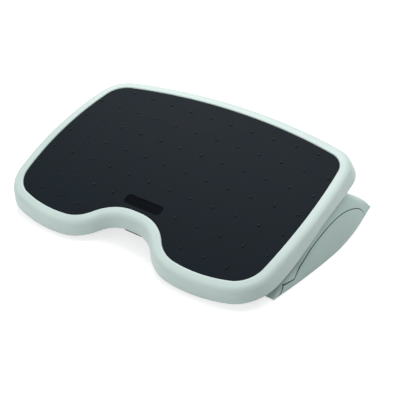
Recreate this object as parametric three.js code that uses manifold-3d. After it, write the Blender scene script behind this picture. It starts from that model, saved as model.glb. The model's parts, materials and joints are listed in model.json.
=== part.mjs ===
// A tilting under-desk footrest. Two low pods stand on a ribbed base plate. A column slides up
// and down in each pod, an axle joins the two columns, and the platform tilts on that axle.
// A foot pedal turns the lock bar, whose cams grip the columns' fronts and hold the height.
// Millimetres, +Z up, the user's heels towards -Y, toes towards +Y. Everything is laid out from
// a point on the floor straight under the tilt axle, and the whole is centred at the end.
import * as THREE from "three";
import { mergeVertices } from "three/addons/utils/BufferGeometryUtils.js";
import Module from "manifold-3d";

const wasm = await Module();
wasm.setup();

// Fits
const CLEARANCE = 0.3;
const RUNNING_GAP = 0.4;
const SEAM = 0.8;
const OVERRUN = 6;
const WALL = 3;

// Settings in which the footrest stands
const TILT = THREE.MathUtils.degToRad(19.2);
const AXLE_HEIGHT = 72;

// The mat's outline, seen square on
const MAT_REAR = 159.2;
const MAT_REAR_RADIUS = 887;
const MAT_REAR_CORNER_RADIUS = 39;
const MAT_SIDE_RADIUS = 720;
const MAT_WIDEST_Y = -9.5;
const MAT_FRONT_CORNER_RADIUS = 46;
const LOBE_X = 137;
const LOBE_FRONT = 151;
const LOBE_RADIUS = 239;
const SHOULDER_RADIUS = 62;
const NOTCH_FRONT = 98.4;
const NOTCH_FLAT_HALF = 8;
const NOTCH_RADIUS = 79.5;

// Platform
const CROWN_RADIUS = 1375;
const CROWN_STRIP = 34;
const AXLE_DEPTH = 22;
const MAT_THICKNESS = 3;
const DECK_THICKNESS = 3.3;
const RIM_RISE = 1.2;
const RIM_WIDTH = 19;
const RIM_EDGE_RADIUS = 9;
const SKIRT_DEPTH = 22;
const SKIRT_FLARE = 4;
// The skirt's lower edge arches up along each side, over the pods
const ARCH_RISE = 10;
const ARCH_FRONT = -95;
const ARCH_REAR = 130;
const RIM_EDGE_STEPS = 3;
// How far into the deck's thickness the rim's hidden flange is tucked, from each face
const TUCK_SHARE = 0.2;
const RIB_DEPTH = 9;
const RIB_THICKNESS = 2.4;
const RIB_COUNT = 6;
const RIB_END_MARGIN = 16;
const RIB_FRONT = 86;
const RIB_REAR = 138;
const RIB_ROW_COUNT = 4;
const RIB_ROW_PITCH = 57;
const RIB_FIRST_ROW = -62;
const RIB_SIDE_GAP = 6;

// Bumps and bare patch on the mat
const BUMP_PITCH = 41.8;
const BUMP_COLUMNS = 12;
const BUMP_ROWS = 7;
const BUMP_MARGIN = 5;
const BUMP_RADIUS = 2.6;
const BUMP_HEIGHT = 1.5;
const BUMP_SIDES = 5;
const BUMP_TOP_SHARE = 0.45;
const PATCH_WIDTH = 72;
const PATCH_LENGTH = 18;
const PATCH_Y = -83;
const PATCH_CORNER = 6;
const PATCH_RECESS = 0.7;

// Pods
const POD_LENGTH = 270;
const POD_HEIGHT = 77;
const POD_HALF_SPAN = 260;
const POD_INSET = 2;
const POD_WIDTH = 55;
const POD_PLAN_RADIUS = 1280;
const POD_WIDEST_Y = 50;
const POD_FLOOR_GAP = 1.5;
const POD_STATIONS = 18;
const POD_SOLID_NOSE = 19;
const PANEL_INSET = 20;
// How far along the pod, from its nose, the lock bar and its cam lie
const CAM_SHARE = 0.226;
// Along the pod's length and up its height, from the nose to the rear tip
const POD_TOP_SHARE = [
  [0, 0.05], [0.078, 0.17], [0.2, 0.3], [0.281, 0.5], [0.393, 0.72],
  [0.533, 0.9], [0.678, 1], [0.789, 0.925], [0.881, 0.76], [0.963, 0.575], [1, 0.42],
];
const POD_BOTTOM_SHARE = [
  [0, 0], [0.56, 0], [0.68, 0.03], [0.78, 0.085], [0.874, 0.165], [0.96, 0.27], [1, 0.34],
];
const PARTING_SHARE = [
  [0.03, 0], [0.092, 0.14], [0.173, 0.145], [0.215, 0.243], [0.256, 0.34], [0.341, 0.51], [0.423, 0.628],
  [0.524, 0.73], [0.61, 0.775], [0.68, 0.77], [0.745, 0.72], [0.8, 0.65], [0.845, 0.57], [0.885, 0.455],
  [0.91, 0.34],
];
// In from the outer side and up from the bottom, round the pod's section
const POD_SECTION_SHARE = [
  [0.035, 0], [0, 0.22], [0.012, 0.46], [0.06, 0.7], [0.14, 0.86], [0.27, 0.96], [0.45, 1],
  [0.88, 1], [1, 0.9], [1, 0],
];

// Base plate and feet
const PLATE_THICKNESS = 3;
const PLATE_REAR = 100;
const PLATE_RIB_HEIGHT = 7;
const PLATE_RIB_THICKNESS = 2.4;
const PLATE_RIB_COUNT = 4;
const PLATE_RIB_PITCH = 80;
const PLATE_RIB_FRONT = 10;
const PLATE_RIB_ROW_COUNT = 3;
const PLATE_RIB_END_GAP = 8.6;
const FOOT_HEIGHT = 3;
const FOOT_RADIUS = 10;
const FOOT_STUD_RADIUS = 4;
const FOOT_INSET = 43;
const FOOT_FRONT_MARGIN = 4;
const FOOT_REAR_Y = 82;

// Columns and their guides
const COLUMN_INSET = 39;
const COLUMN_WIDTH = 22;
const COLUMN_LENGTH = 44;
const COLUMN_TOP_RADIUS = 10;
const COLUMN_WEB = 5;
const GUIDE_TOP_GAP = 4.5;
const GUIDE_WINDOW_WIDTH = 12;
const GUIDE_FLANGE = 12;
const GUIDE_FLANGE_THICKNESS = 4;
const GUIDE_FLANGE_LENGTH = 20;

// Tilt axle
const AXLE_RADIUS = 4;
const CLIP_RADIUS = 8;
const CLIP_THICKNESS = 2.2;
const BUSH_WALL = 2;
const WASHER_RADIUS = 9.5;
const WASHER_THICKNESS = 3.4;
const BRACKET_EAR_WIDTH = 16;
const BRACKET_EAR_RADIUS = 10.5;
const BRACKET_WIDTH = 34;
const BRACKET_LENGTH = 56;
const BRACKET_THICKNESS = 3.4;
const BRACKET_BOSS_HEIGHT = 5.5;
const BRACKET_BOSS_RADIUS = 5.5;
const BRACKET_SCREW_Y = 20;

// Lock bar, cams and pedal
const BAR_Y = -34;
const BAR_HEIGHT = 15;
const BAR_RADIUS = 4;
const BAR_END = 7;
const CAM_HUB_RADIUS = 7;
const CAM_WIDTH = 8;
const CAM_TOE_HEIGHT = 8;
const CAM_TOE_NECK = 5;
const BEARING_INSET = 71;
const BEARING_WIDTH = 16;
const BEARING_TOP = 24;
const BEARING_LENGTH = 22;
const BEARING_FLANGE = 11;
const BEARING_FLANGE_THICKNESS = 4;
const PEDAL_FRONT_Y = -102.5;
const PEDAL_PLATE_LENGTH = 38;
const PEDAL_HALF_WIDTH = 31;
const PEDAL_TOP = 20;
const PEDAL_THICKNESS = 4;
const PEDAL_CORNER = 9;
const PEDAL_ARM_X = 15;
const PEDAL_ARM_THICKNESS = 7;
const PEDAL_HUB_RADIUS = 7.6;
const PEDAL_HUB_HALF = 22;
const TREAD_THICKNESS = 2.4;
const TREAD_MARGIN = 3;
const TREAD_RIDGES = 5;
const TREAD_RIDGE_RISE = 1;

// Pedal spring: a coil round the lock bar with one leg on the plate and one under the pedal
const SPRING_WIRE_RADIUS = 0.9;
const SPRING_CURLS = 6;
const SPRING_PITCH = 2.7;
const SPRING_REAR_LEG = 12;
const SPRING_LAP = 5;
const SPRING_SIDES = 5;
const SPRING_STEPS_PER_CURL = 8;

// Screws, all alike
const SCREW_RADIUS = 2;
const SCREW_HEAD_RADIUS = 3.8;
const SCREW_HEAD_HEIGHT = 2.2;
const SCREW_LENGTH = 6.4;
const POD_SCREW_INSET = 26;
const POD_SCREW_REAR_Y = 60;
const POD_BOSS_RADIUS = 5;

const ARC_STEPS = 6;
const ROUND_SIDES = 16;
const SMALL_SIDES = 8;

const PLASTIC = { color: 0xc3cfcb, roughness: 0.45, metalness: 0 };
const SHADED_PLASTIC = { color: 0xb4c1bc, roughness: 0.5, metalness: 0 };
const RUBBER = { color: 0x2b323a, roughness: 0.75, metalness: 0 };
const DARK_PLASTIC = { color: 0x2e3236, roughness: 0.55, metalness: 0 };
const STEEL = { color: 0xb9bdc1, roughness: 0.35, metalness: 1 };
const NYLON = { color: 0xe6e4da, roughness: 0.5, metalness: 0 };

const footrest = new THREE.Group();

// Places that follow from the sizes above: the platform covers the pods, what stands in a pod or
// hangs beside it moves with the pod, the guides end under the axle's washers, and the deck's
// ribs end beside the brackets. The pod's profile keeps its place over the cam on the lock bar.
const MAT_HALF_WIDTH = POD_HALF_SPAN + POD_INSET - RIM_WIDTH;
const POD_NOSE_Y = BAR_Y - POD_LENGTH * CAM_SHARE;
const PLATE_FRONT_Y = POD_NOSE_Y + POD_SOLID_NOSE + OVERRUN;
const FOOT_FRONT_Y = PLATE_FRONT_Y + FOOT_RADIUS + FOOT_FRONT_MARGIN;
const POD_SCREW_Y = [FOOT_FRONT_Y, POD_SCREW_REAR_Y];
const PANEL_INNER_X = POD_HALF_SPAN - PANEL_INSET;
const FOOT_X = POD_HALF_SPAN - FOOT_INSET;
const POD_SCREW_X = POD_HALF_SPAN - POD_SCREW_INSET;
const COLUMN_X = POD_HALF_SPAN - COLUMN_INSET;
const BAR_HALF_LENGTH = COLUMN_X + BAR_END;
const BEARING_X = COLUMN_X - BEARING_INSET;
const BRACKET_OUTER_X = COLUMN_X - COLUMN_WIDTH / 2 - CLEARANCE * 2 - WASHER_THICKNESS;
const BRACKET_INNER_X = BRACKET_OUTER_X - BRACKET_WIDTH;
const RIB_SIDE = BRACKET_INNER_X - RIB_SIDE_GAP;
const RIB_PITCH = ((RIB_SIDE - RIB_END_MARGIN) * 2) / (RIB_COUNT - 1);
const GUIDE_TOP = AXLE_HEIGHT - WASHER_RADIUS - GUIDE_TOP_GAP;

// Solids: one place where meshes turn into manifold solids and back

function solidOf(geometry) {
  const bare = geometry.clone();
  bare.deleteAttribute("normal");
  bare.deleteAttribute("uv");
  const merged = mergeVertices(bare, 1e-4);
  return new wasm.Manifold(new wasm.Mesh({
    numProp: 3,
    vertProperties: new Float32Array(merged.attributes.position.array),
    triVerts: new Uint32Array(merged.index.array),
  }));
}

function geometryOf(solid) {
  const mesh = solid.getMesh();
  const geometry = new THREE.BufferGeometry();
  geometry.setAttribute("position", new THREE.BufferAttribute(mesh.vertProperties, 3));
  geometry.setIndex(new THREE.BufferAttribute(mesh.triVerts, 1));
  geometry.computeVertexNormals();
  return geometry;
}

function joined(solids) {
  return solids.reduce((whole, next) => whole.add(next));
}

function addPiece(parent, name, solid, finish) {
  const mesh = new THREE.Mesh(geometryOf(solid), new THREE.MeshStandardMaterial(finish));
  mesh.name = name;
  parent.add(mesh);
  return mesh;
}

// The same solid on the other side of the middle plane
function mirrored(solid) {
  const geometry = geometryOf(solid);
  const index = Array.from(geometry.index.array);
  for (let first = 0; first < index.length; first += 3) {
    [index[first], index[first + 1]] = [index[first + 1], index[first]];
  }
  geometry.setIndex(index);
  geometry.scale(-1, 1, 1);
  return solidOf(geometry);
}

function addPair(parent, name, solid, finish) {
  addPiece(parent, `${name}_right`, solid, finish);
  addPiece(parent, `${name}_left`, mirrored(solid), finish);
}

// Shapes

function upright(points, low, high, holes = []) {
  const shape = new THREE.Shape(points);
  holes.forEach((hole) => shape.holes.push(new THREE.Path(hole)));
  const geometry = new THREE.ExtrudeGeometry(shape, { depth: high - low, bevelEnabled: false });
  return solidOf(geometry.translate(0, 0, low));
}

// A side view in (y, z), given a width from one x to another
function sideways(points, from, to, holes = []) {
  const shape = new THREE.Shape(points.map(([y, z]) => new THREE.Vector2(y, z)));
  holes.forEach((hole) => shape.holes.push(new THREE.Path(hole)));
  const geometry = new THREE.ExtrudeGeometry(shape, { depth: to - from, bevelEnabled: false });
  const turn = new THREE.Matrix4().makeBasis(
    new THREE.Vector3(0, 1, 0),
    new THREE.Vector3(0, 0, 1),
    new THREE.Vector3(1, 0, 0),
  );
  return solidOf(geometry.applyMatrix4(turn).translate(from, 0, 0));
}

function box([left, right], [front, rear], [low, high]) {
  const corners = [[left, front], [right, front], [right, rear], [left, rear]];
  return upright(corners.map(([x, y]) => new THREE.Vector2(x, y)), low, high);
}

// Places at an even pitch, centred on zero
function evenPlaces(count, pitch) {
  return Array.from({ length: count }, (_, step) => (step - (count - 1) / 2) * pitch);
}

// Joins loops of equal length into one closed solid, round to the first loop or capped with fans
function lofted(loops, ringed) {
  const count = loops[0].length;
  const spans = ringed ? loops.length : loops.length - 1;
  const index = [];
  for (let span = 0; span < spans; span += 1) {
    const [here, there] = [span, (span + 1) % loops.length].map((loop) => loop * count);
    for (let step = 0; step < count; step += 1) {
      const next = (step + 1) % count;
      index.push(here + step, here + next, there + step);
      index.push(here + next, there + next, there + step);
    }
  }
  const last = (loops.length - 1) * count;
  for (let step = 1; !ringed && step < count - 1; step += 1) {
    index.push(0, step + 1, step);
    index.push(last, last + step, last + step + 1);
  }
  return facingOut(loops.flat(2), index);
}

function facingOut(positions, index) {
  const geometry = new THREE.BufferGeometry();
  geometry.setAttribute("position", new THREE.Float32BufferAttribute(positions, 3));
  geometry.setIndex(index);
  const solid = solidOf(geometry);
  if (solid.volume() > 0) return solid;
  geometry.setIndex(index.reverse());
  return solidOf(geometry);
}

function ringOf(x, y, radius, sides) {
  return Array.from({ length: sides }, (_, step) => {
    const angle = (step / sides) * Math.PI * 2;
    return new THREE.Vector2(x + radius * Math.cos(angle), y + radius * Math.sin(angle));
  });
}

function standingRod(x, y, radius, low, high, sides = ROUND_SIDES) {
  return upright(ringOf(x, y, radius, sides), low, high);
}

function lyingRod(y, z, radius, from, to, sides = ROUND_SIDES) {
  const points = ringOf(y, z, radius, sides).map((point) => [point.x, point.y]);
  return sideways(points, from, to);
}

function lyingTube(y, z, outer, inner, from, to) {
  const bore = lyingRod(y, z, inner, from - OVERRUN, to + OVERRUN);
  return lyingRod(y, z, outer, from, to).subtract(bore);
}

function arcPoints(x, y, radius, from, to, steps) {
  return Array.from({ length: steps + 1 }, (_, step) => {
    const angle = from + ((to - from) * step) / steps;
    return [x + radius * Math.cos(angle), y + radius * Math.sin(angle)];
  });
}

function roundedRectangle(x, y, width, length, corner) {
  const points = [];
  const corners = [[1, 1], [-1, 1], [-1, -1], [1, -1]];
  corners.forEach(([sideX, sideY], turn) => {
    const centreX = x + sideX * (width / 2 - corner);
    const centreY = y + sideY * (length / 2 - corner);
    const start = (turn * Math.PI) / 2;
    points.push(...arcPoints(centreX, centreY, corner, start, start + Math.PI / 2, 3));
  });
  return points.map(([px, py]) => new THREE.Vector2(px, py));
}

// The platform's outline

function crossing(a, radiusA, b, radiusB, side) {
  const reach = b.clone().sub(a);
  const distance = reach.length();
  const along = (radiusA ** 2 - radiusB ** 2 + distance ** 2) / (2 * distance);
  const across = Math.sqrt(radiusA ** 2 - along ** 2);
  const unit = reach.divideScalar(distance);
  const square = new THREE.Vector2(-unit.y, unit.x);
  return a.clone().addScaledVector(unit, along).addScaledVector(square, side * across);
}

function angleFrom(a, b) {
  return Math.atan2(b.y - a.y, b.x - a.x);
}

// Arcs from the middle of the rear edge, round the right side, to the middle of the heel notch
function outlineArcs() {
  const rear = new THREE.Vector2(0, MAT_REAR - MAT_REAR_RADIUS);
  const side = new THREE.Vector2(MAT_HALF_WIDTH - MAT_SIDE_RADIUS, MAT_WIDEST_Y);
  const lobe = new THREE.Vector2(LOBE_X, LOBE_RADIUS - LOBE_FRONT);
  const notch = new THREE.Vector2(NOTCH_FLAT_HALF, -NOTCH_FRONT - NOTCH_RADIUS);
  const rearCorner = crossing(
    rear, MAT_REAR_RADIUS - MAT_REAR_CORNER_RADIUS, side, MAT_SIDE_RADIUS - MAT_REAR_CORNER_RADIUS, -1,
  );
  const frontCorner = crossing(
    side, MAT_SIDE_RADIUS - MAT_FRONT_CORNER_RADIUS, lobe, LOBE_RADIUS - MAT_FRONT_CORNER_RADIUS, -1,
  );
  const shoulder = crossing(lobe, LOBE_RADIUS - SHOULDER_RADIUS, notch, SHOULDER_RADIUS + NOTCH_RADIUS, 1);
  const turns = [
    Math.PI / 2, angleFrom(rear, rearCorner), angleFrom(side, rearCorner), angleFrom(side, frontCorner),
    angleFrom(lobe, frontCorner), angleFrom(lobe, shoulder), angleFrom(shoulder, notch),
  ];
  const centres = [rear, rearCorner, side, frontCorner, lobe, shoulder];
  const radii = [
    MAT_REAR_RADIUS, MAT_REAR_CORNER_RADIUS, MAT_SIDE_RADIUS, MAT_FRONT_CORNER_RADIUS,
    LOBE_RADIUS, SHOULDER_RADIUS,
  ];
  const arcs = centres.map((centre, index) => (
    { centre, radius: radii[index], from: turns[index], to: turns[index + 1], outward: 1 }
  ));
  const last = turns[turns.length - 1] + Math.PI;
  arcs.push({ centre: notch, radius: NOTCH_RADIUS, from: last, to: Math.PI / 2, outward: -1 });
  return arcs;
}

const ARCS = outlineArcs();

// The mat's outline grown by a distance, as points all the way round
function outline(grown) {
  const half = [];
  ARCS.forEach(({ centre, radius, from, to, outward }, index) => {
    const points = arcPoints(centre.x, centre.y, radius + outward * grown, from, to, ARC_STEPS);
    half.push(...(index === 0 ? points : points.slice(1)));
  });
  const other = half.slice(1).reverse().map(([x, y]) => [-x, y]);
  return [...half, ...other].map(([x, y]) => new THREE.Vector2(x, y)).reverse();
}

function crownAt(y) {
  return Math.sqrt(CROWN_RADIUS ** 2 - y ** 2) - CROWN_RADIUS;
}

function archAt(y) {
  const along = (y - ARCH_FRONT) / (ARCH_REAR - ARCH_FRONT);
  return along > 0 && along < 1 ? ARCH_RISE * Math.sin(along * Math.PI) ** 2 : 0;
}

// A closed loop of section points (outward, up) carried round the outline, following the crown.
// The points at the skirt's foot follow the arch too.
function rimSolid(section) {
  const loops = section.map(([grown, height]) => outline(grown).map((point) => {
    const arch = height === -SKIRT_DEPTH ? archAt(point.y) : 0;
    return [point.x, point.y, height + arch + crownAt(point.y)];
  }));
  return lofted(loops, true);
}

// A slab between two heights under the mat's crowned top, wide enough for the whole platform
function crownedSlab(low, high) {
  const reach = MAT_REAR + RIM_WIDTH;
  const strips = Math.round((2 * reach) / CROWN_STRIP);
  const line = (height) => Array.from({ length: strips + 1 }, (_, step) => {
    const y = -reach + (2 * reach * step) / strips;
    return [y, height + crownAt(y)];
  });
  const wide = MAT_HALF_WIDTH + RIM_WIDTH;
  return sideways([...line(low), ...line(high).reverse()], -wide, wide);
}

// Screws: the head sits on a face at the given height, and up is 1 where the head is on top

function rodBetween(x, y, radius, one, other) {
  return standingRod(x, y, radius, Math.min(one, other), Math.max(one, other), SMALL_SIDES);
}

function screwAt(x, y, seat, up) {
  const top = seat + up * (CLEARANCE + SCREW_HEAD_HEIGHT);
  const head = rodBetween(x, y, SCREW_HEAD_RADIUS, seat + up * CLEARANCE, top);
  const inHead = top - (up * SCREW_HEAD_HEIGHT) / 2;
  return head.add(rodBetween(x, y, SCREW_RADIUS, seat - up * SCREW_LENGTH, inHead));
}

function screwHole(x, y, seat, up) {
  const end = seat - up * (SCREW_LENGTH + CLEARANCE);
  return rodBetween(x, y, SCREW_RADIUS + CLEARANCE, end, seat + up * OVERRUN);
}

// Platform pieces, in a frame whose origin is the middle of the crowned top and which is
// moved down to the axle and tilted as a whole

const DECK_TOP = -MAT_THICKNESS - CLEARANCE;
const DECK_BOTTOM = DECK_TOP - DECK_THICKNESS;
const BRACKET_CROWN_DROP = -crownAt(BRACKET_LENGTH / 2);
const BRACKET_BOSS_BOTTOM = DECK_BOTTOM - BRACKET_BOSS_HEIGHT - BRACKET_CROWN_DROP;
const BRACKET_TOP = BRACKET_BOSS_BOTTOM - CLEARANCE;
const BRACKET_SEAT = BRACKET_TOP - BRACKET_THICKNESS;
const BRACKET_SCREW_X = BRACKET_INNER_X + SCREW_HEAD_RADIUS * 2;
const RIM_LEAN = Math.atan2(SKIRT_FLARE, SKIRT_DEPTH - RIM_EDGE_RADIUS / 2);

function rimSection() {
  const outer = RIM_WIDTH;
  const radius = RIM_EDGE_RADIUS;
  const [x, y] = [outer - radius, RIM_RISE - radius];
  const edge = arcPoints(x, y, radius, Math.PI / 2, RIM_LEAN, RIM_EDGE_STEPS);
  const tucked = DECK_THICKNESS * TUCK_SHARE;
  return [
    [CLEARANCE, 0],
    [RIM_RISE * 2, RIM_RISE],
    ...edge,
    [outer + SKIRT_FLARE, -SKIRT_DEPTH],
    [outer + SKIRT_FLARE - WALL, -SKIRT_DEPTH],
    [outer - WALL, DECK_BOTTOM - WALL],
    [outer - WALL * 2, DECK_BOTTOM + tucked],
    [-WALL * 2, DECK_BOTTOM + tucked],
    [-WALL * 2, DECK_TOP - tucked],
    [CLEARANCE, DECK_TOP - tucked],
  ];
}

function ribGrid() {
  const half = RIB_THICKNESS / 2;
  const heights = [-CROWN_RADIUS / 2, RIB_DEPTH];
  const along = evenPlaces(RIB_COUNT, RIB_PITCH).map((x) => (
    box([x - half, x + half], [-RIB_FRONT, RIB_REAR], heights)
  ));
  const across = Array.from({ length: RIB_ROW_COUNT }, (_, row) => {
    const y = RIB_FIRST_ROW + row * RIB_ROW_PITCH;
    return box([-RIB_SIDE, RIB_SIDE], [y - half, y + half], heights);
  });
  const top = DECK_BOTTOM + DECK_THICKNESS / 2;
  return joined([...along, ...across]).intersect(crownedSlab(DECK_BOTTOM - RIB_DEPTH, top));
}

function bracketSpots() {
  return [[BRACKET_SCREW_X, -BRACKET_SCREW_Y], [BRACKET_SCREW_X, BRACKET_SCREW_Y]];
}

function platformShell() {
  const column = upright(outline(-WALL), -CROWN_RADIUS / 2, DECK_THICKNESS);
  const deck = column.intersect(crownedSlab(DECK_BOTTOM, DECK_TOP));
  const pieces = [rimSolid(rimSection()), deck, ribGrid()];
  const holes = [];
  const bossTop = DECK_BOTTOM + DECK_THICKNESS / 2;
  bracketSpots().forEach(([x, y]) => {
    [x, -x].forEach((spot) => {
      pieces.push(standingRod(spot, y, BRACKET_BOSS_RADIUS, BRACKET_BOSS_BOTTOM, bossTop));
      holes.push(screwHole(spot, y, BRACKET_SEAT, -1));
    });
  });
  return joined(pieces).subtract(joined(holes));
}

function isInside(x, y, loop) {
  let inside = false;
  loop.forEach((here, step) => {
    const next = loop[(step + 1) % loop.length];
    const across = here.x + ((y - here.y) / (next.y - here.y)) * (next.x - here.x);
    if (here.y > y !== next.y > y && x < across) inside = !inside;
  });
  return inside;
}

function isOnPatch(x, y) {
  return Math.abs(x) < PATCH_WIDTH / 2 && Math.abs(y - PATCH_Y) < PATCH_LENGTH / 2;
}

// A grid of bumps over the mat, but for those too near its edge or on the bare patch
function bumpSpots() {
  const edge = outline(-BUMP_MARGIN);
  return evenPlaces(BUMP_ROWS, BUMP_PITCH)
    .flatMap((y) => evenPlaces(BUMP_COLUMNS, BUMP_PITCH).map((x) => [x, y]))
    .filter(([x, y]) => isInside(x, y, edge) && !isOnPatch(x, y));
}

function bump(x, y) {
  const top = crownAt(y);
  const loops = [[1, -MAT_THICKNESS / 2], [1, 0], [BUMP_TOP_SHARE, BUMP_HEIGHT]].map(([share, height]) => (
    ringOf(x, y, BUMP_RADIUS * share, BUMP_SIDES).map((point) => [point.x, point.y, top + height])
  ));
  return lofted(loops, false);
}

function rubberMat() {
  const slab = upright(outline(0), -CROWN_RADIUS / 2, MAT_THICKNESS);
  const flat = slab.intersect(crownedSlab(-MAT_THICKNESS, 0));
  const patch = upright(
    roundedRectangle(0, PATCH_Y, PATCH_WIDTH, PATCH_LENGTH, PATCH_CORNER),
    crownAt(PATCH_Y) - PATCH_RECESS,
    MAT_THICKNESS,
  );
  const bumps = bumpSpots().map(([x, y]) => bump(x, y));
  return joined([flat, ...bumps]).subtract(patch);
}

function hingeBracket() {
  const [inner, outer] = [BRACKET_INNER_X, BRACKET_OUTER_X];
  const half = BRACKET_LENGTH / 2;
  const plate = box([inner, outer], [-half, half], [BRACKET_SEAT, BRACKET_TOP]);
  const cheek = BRACKET_SEAT + BRACKET_THICKNESS / 2;
  const round = arcPoints(0, -AXLE_DEPTH, BRACKET_EAR_RADIUS, Math.PI, Math.PI * 2, SMALL_SIDES);
  const side = [[-half / 2, cheek], ...round, [half / 2, cheek]];
  const ear = sideways(side, outer - BRACKET_EAR_WIDTH, outer);
  const radius = AXLE_RADIUS + RUNNING_GAP + BUSH_WALL + CLEARANCE;
  const bore = lyingRod(0, -AXLE_DEPTH, radius, inner - OVERRUN, outer + OVERRUN);
  const holes = bracketSpots().map(([x, y]) => screwHole(x, y, BRACKET_SEAT, -1));
  return plate.add(ear).subtract(joined([bore, ...holes]));
}

function hingeBush() {
  const inner = AXLE_RADIUS + RUNNING_GAP;
  const from = BRACKET_OUTER_X - BRACKET_EAR_WIDTH;
  return lyingTube(0, -AXLE_DEPTH, inner + BUSH_WALL, inner, from, BRACKET_OUTER_X);
}

function frictionWasher() {
  const from = BRACKET_OUTER_X + CLEARANCE;
  const inner = AXLE_RADIUS + RUNNING_GAP;
  return lyingTube(0, -AXLE_DEPTH, WASHER_RADIUS, inner, from, from + WASHER_THICKNESS);
}

function buildPlatform() {
  const platform = new THREE.Group();
  platform.position.set(0, 0, AXLE_HEIGHT);
  platform.rotation.x = TILT;
  const surface = new THREE.Group();
  surface.position.set(0, 0, AXLE_DEPTH);
  platform.add(surface);
  addPiece(surface, "platform_shell", platformShell(), PLASTIC);
  addPiece(surface, "rubber_mat", rubberMat(), RUBBER);
  addPair(surface, "hinge_bracket", hingeBracket(), STEEL);
  addPair(surface, "hinge_bush", hingeBush(), NYLON);
  addPair(surface, "friction_washer", frictionWasher(), DARK_PLASTIC);
  ["front", "rear"].forEach((place, index) => {
    const [x, y] = bracketSpots()[index];
    addPair(surface, `bracket_screw_${place}`, screwAt(x, y, BRACKET_SEAT, -1), STEEL);
  });
  footrest.add(platform);
}

// Base plate

const PLATE_BOTTOM = FOOT_HEIGHT + CLEARANCE;
const PLATE_TOP = PLATE_BOTTOM + PLATE_THICKNESS;

function podOuterX(y) {
  return POD_HALF_SPAN + Math.sqrt(POD_PLAN_RADIUS ** 2 - (y - POD_WIDEST_Y) ** 2) - POD_PLAN_RADIUS;
}

// The floor plate's flat, whose sides follow the pods inside their outer walls, grown by a distance
function plateBody(grown, low, high) {
  const [front, rear] = [PLATE_FRONT_Y - grown, PLATE_REAR + grown];
  const side = Array.from({ length: ARC_STEPS + 1 }, (_, step) => {
    const y = front + ((rear - front) * step) / ARC_STEPS;
    return new THREE.Vector2(podOuterX(y) - WALL * 2 + grown, y);
  });
  const other = side.map((point) => new THREE.Vector2(-point.x, point.y)).reverse();
  return upright([...side, ...other], low, high);
}

function footSpots() {
  return [["front", FOOT_FRONT_Y], ["rear", FOOT_REAR_Y]];
}

function guideScrewSpots() {
  const reach = COLUMN_WIDTH / 2 + RUNNING_GAP + WALL + GUIDE_FLANGE / 2;
  return [["inner", COLUMN_X - reach], ["outer", COLUMN_X + reach]];
}

function bearingScrewSpots() {
  const reach = (BEARING_LENGTH + BEARING_FLANGE) / 2;
  return [["front", BAR_Y - reach], ["rear", BAR_Y + reach]];
}

function plateHoles() {
  const holes = [];
  footSpots().forEach(([, y]) => {
    const radius = FOOT_STUD_RADIUS + CLEARANCE;
    holes.push(standingRod(FOOT_X, y, radius, PLATE_BOTTOM - OVERRUN, PLATE_TOP + OVERRUN));
  });
  guideScrewSpots().forEach(([, x]) => holes.push(screwHole(x, 0, PLATE_TOP + GUIDE_FLANGE_THICKNESS, 1)));
  bearingScrewSpots().forEach(([, y]) => {
    holes.push(screwHole(BEARING_X, y, PLATE_TOP + BEARING_FLANGE_THICKNESS, 1));
  });
  POD_SCREW_Y.forEach((y) => holes.push(screwHole(POD_SCREW_X, y, PLATE_BOTTOM, -1)));
  return joined(holes);
}

function basePlate() {
  const half = PLATE_RIB_THICKNESS / 2;
  const [low, high] = [PLATE_TOP - PLATE_THICKNESS / 2, PLATE_TOP + PLATE_RIB_HEIGHT];
  const lastRow = PLATE_REAR - PLATE_RIB_THICKNESS;
  const rowPitch = (lastRow - PLATE_RIB_FRONT) / (PLATE_RIB_ROW_COUNT - 1);
  const along = evenPlaces(PLATE_RIB_COUNT, PLATE_RIB_PITCH).map((x) => (
    box([x - half, x + half], [PLATE_RIB_FRONT, lastRow], [low, high - CLEARANCE])
  ));
  const [[, innerScrewX]] = guideScrewSpots();
  const span = innerScrewX - GUIDE_FLANGE / 2 - PLATE_RIB_END_GAP;
  const across = Array.from({ length: PLATE_RIB_ROW_COUNT }, (_, row) => {
    const y = PLATE_RIB_FRONT + row * rowPitch;
    return box([-span, span], [y - half, y + half], [low, high]);
  });
  const plate = joined([plateBody(0, PLATE_BOTTOM, PLATE_TOP), ...along, ...across]);
  const holes = plateHoles();
  return plate.subtract(holes).subtract(mirrored(holes));
}

function rubberFoot(y) {
  const pad = standingRod(FOOT_X, y, FOOT_RADIUS, 0, FOOT_HEIGHT);
  return pad.add(standingRod(FOOT_X, y, FOOT_STUD_RADIUS, FOOT_HEIGHT / 2, PLATE_TOP));
}

// Pods

function shareAt(shares, along) {
  const next = Math.max(1, shares.findIndex(([place]) => place >= along));
  const [before, after] = [shares[next - 1], shares[next]];
  const blend = (along - before[0]) / (after[0] - before[0]);
  return before[1] + (after[1] - before[1]) * blend;
}

function smoothed(shares) {
  const curve = new THREE.SplineCurve(shares.map(([along, up]) => new THREE.Vector2(along, up)));
  return curve.getPoints(shares.length * 4).map((point) => [point.x, point.y]);
}

const POD_TOP_LINE = smoothed(POD_TOP_SHARE);
const POD_BOTTOM_LINE = smoothed(POD_BOTTOM_SHARE);
// The parting line has corners at the pod's nose and runs smoothly from there to the rear
const PARTING_LINE = [...PARTING_SHARE.slice(0, 2), ...smoothed(PARTING_SHARE.slice(2))];

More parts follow.
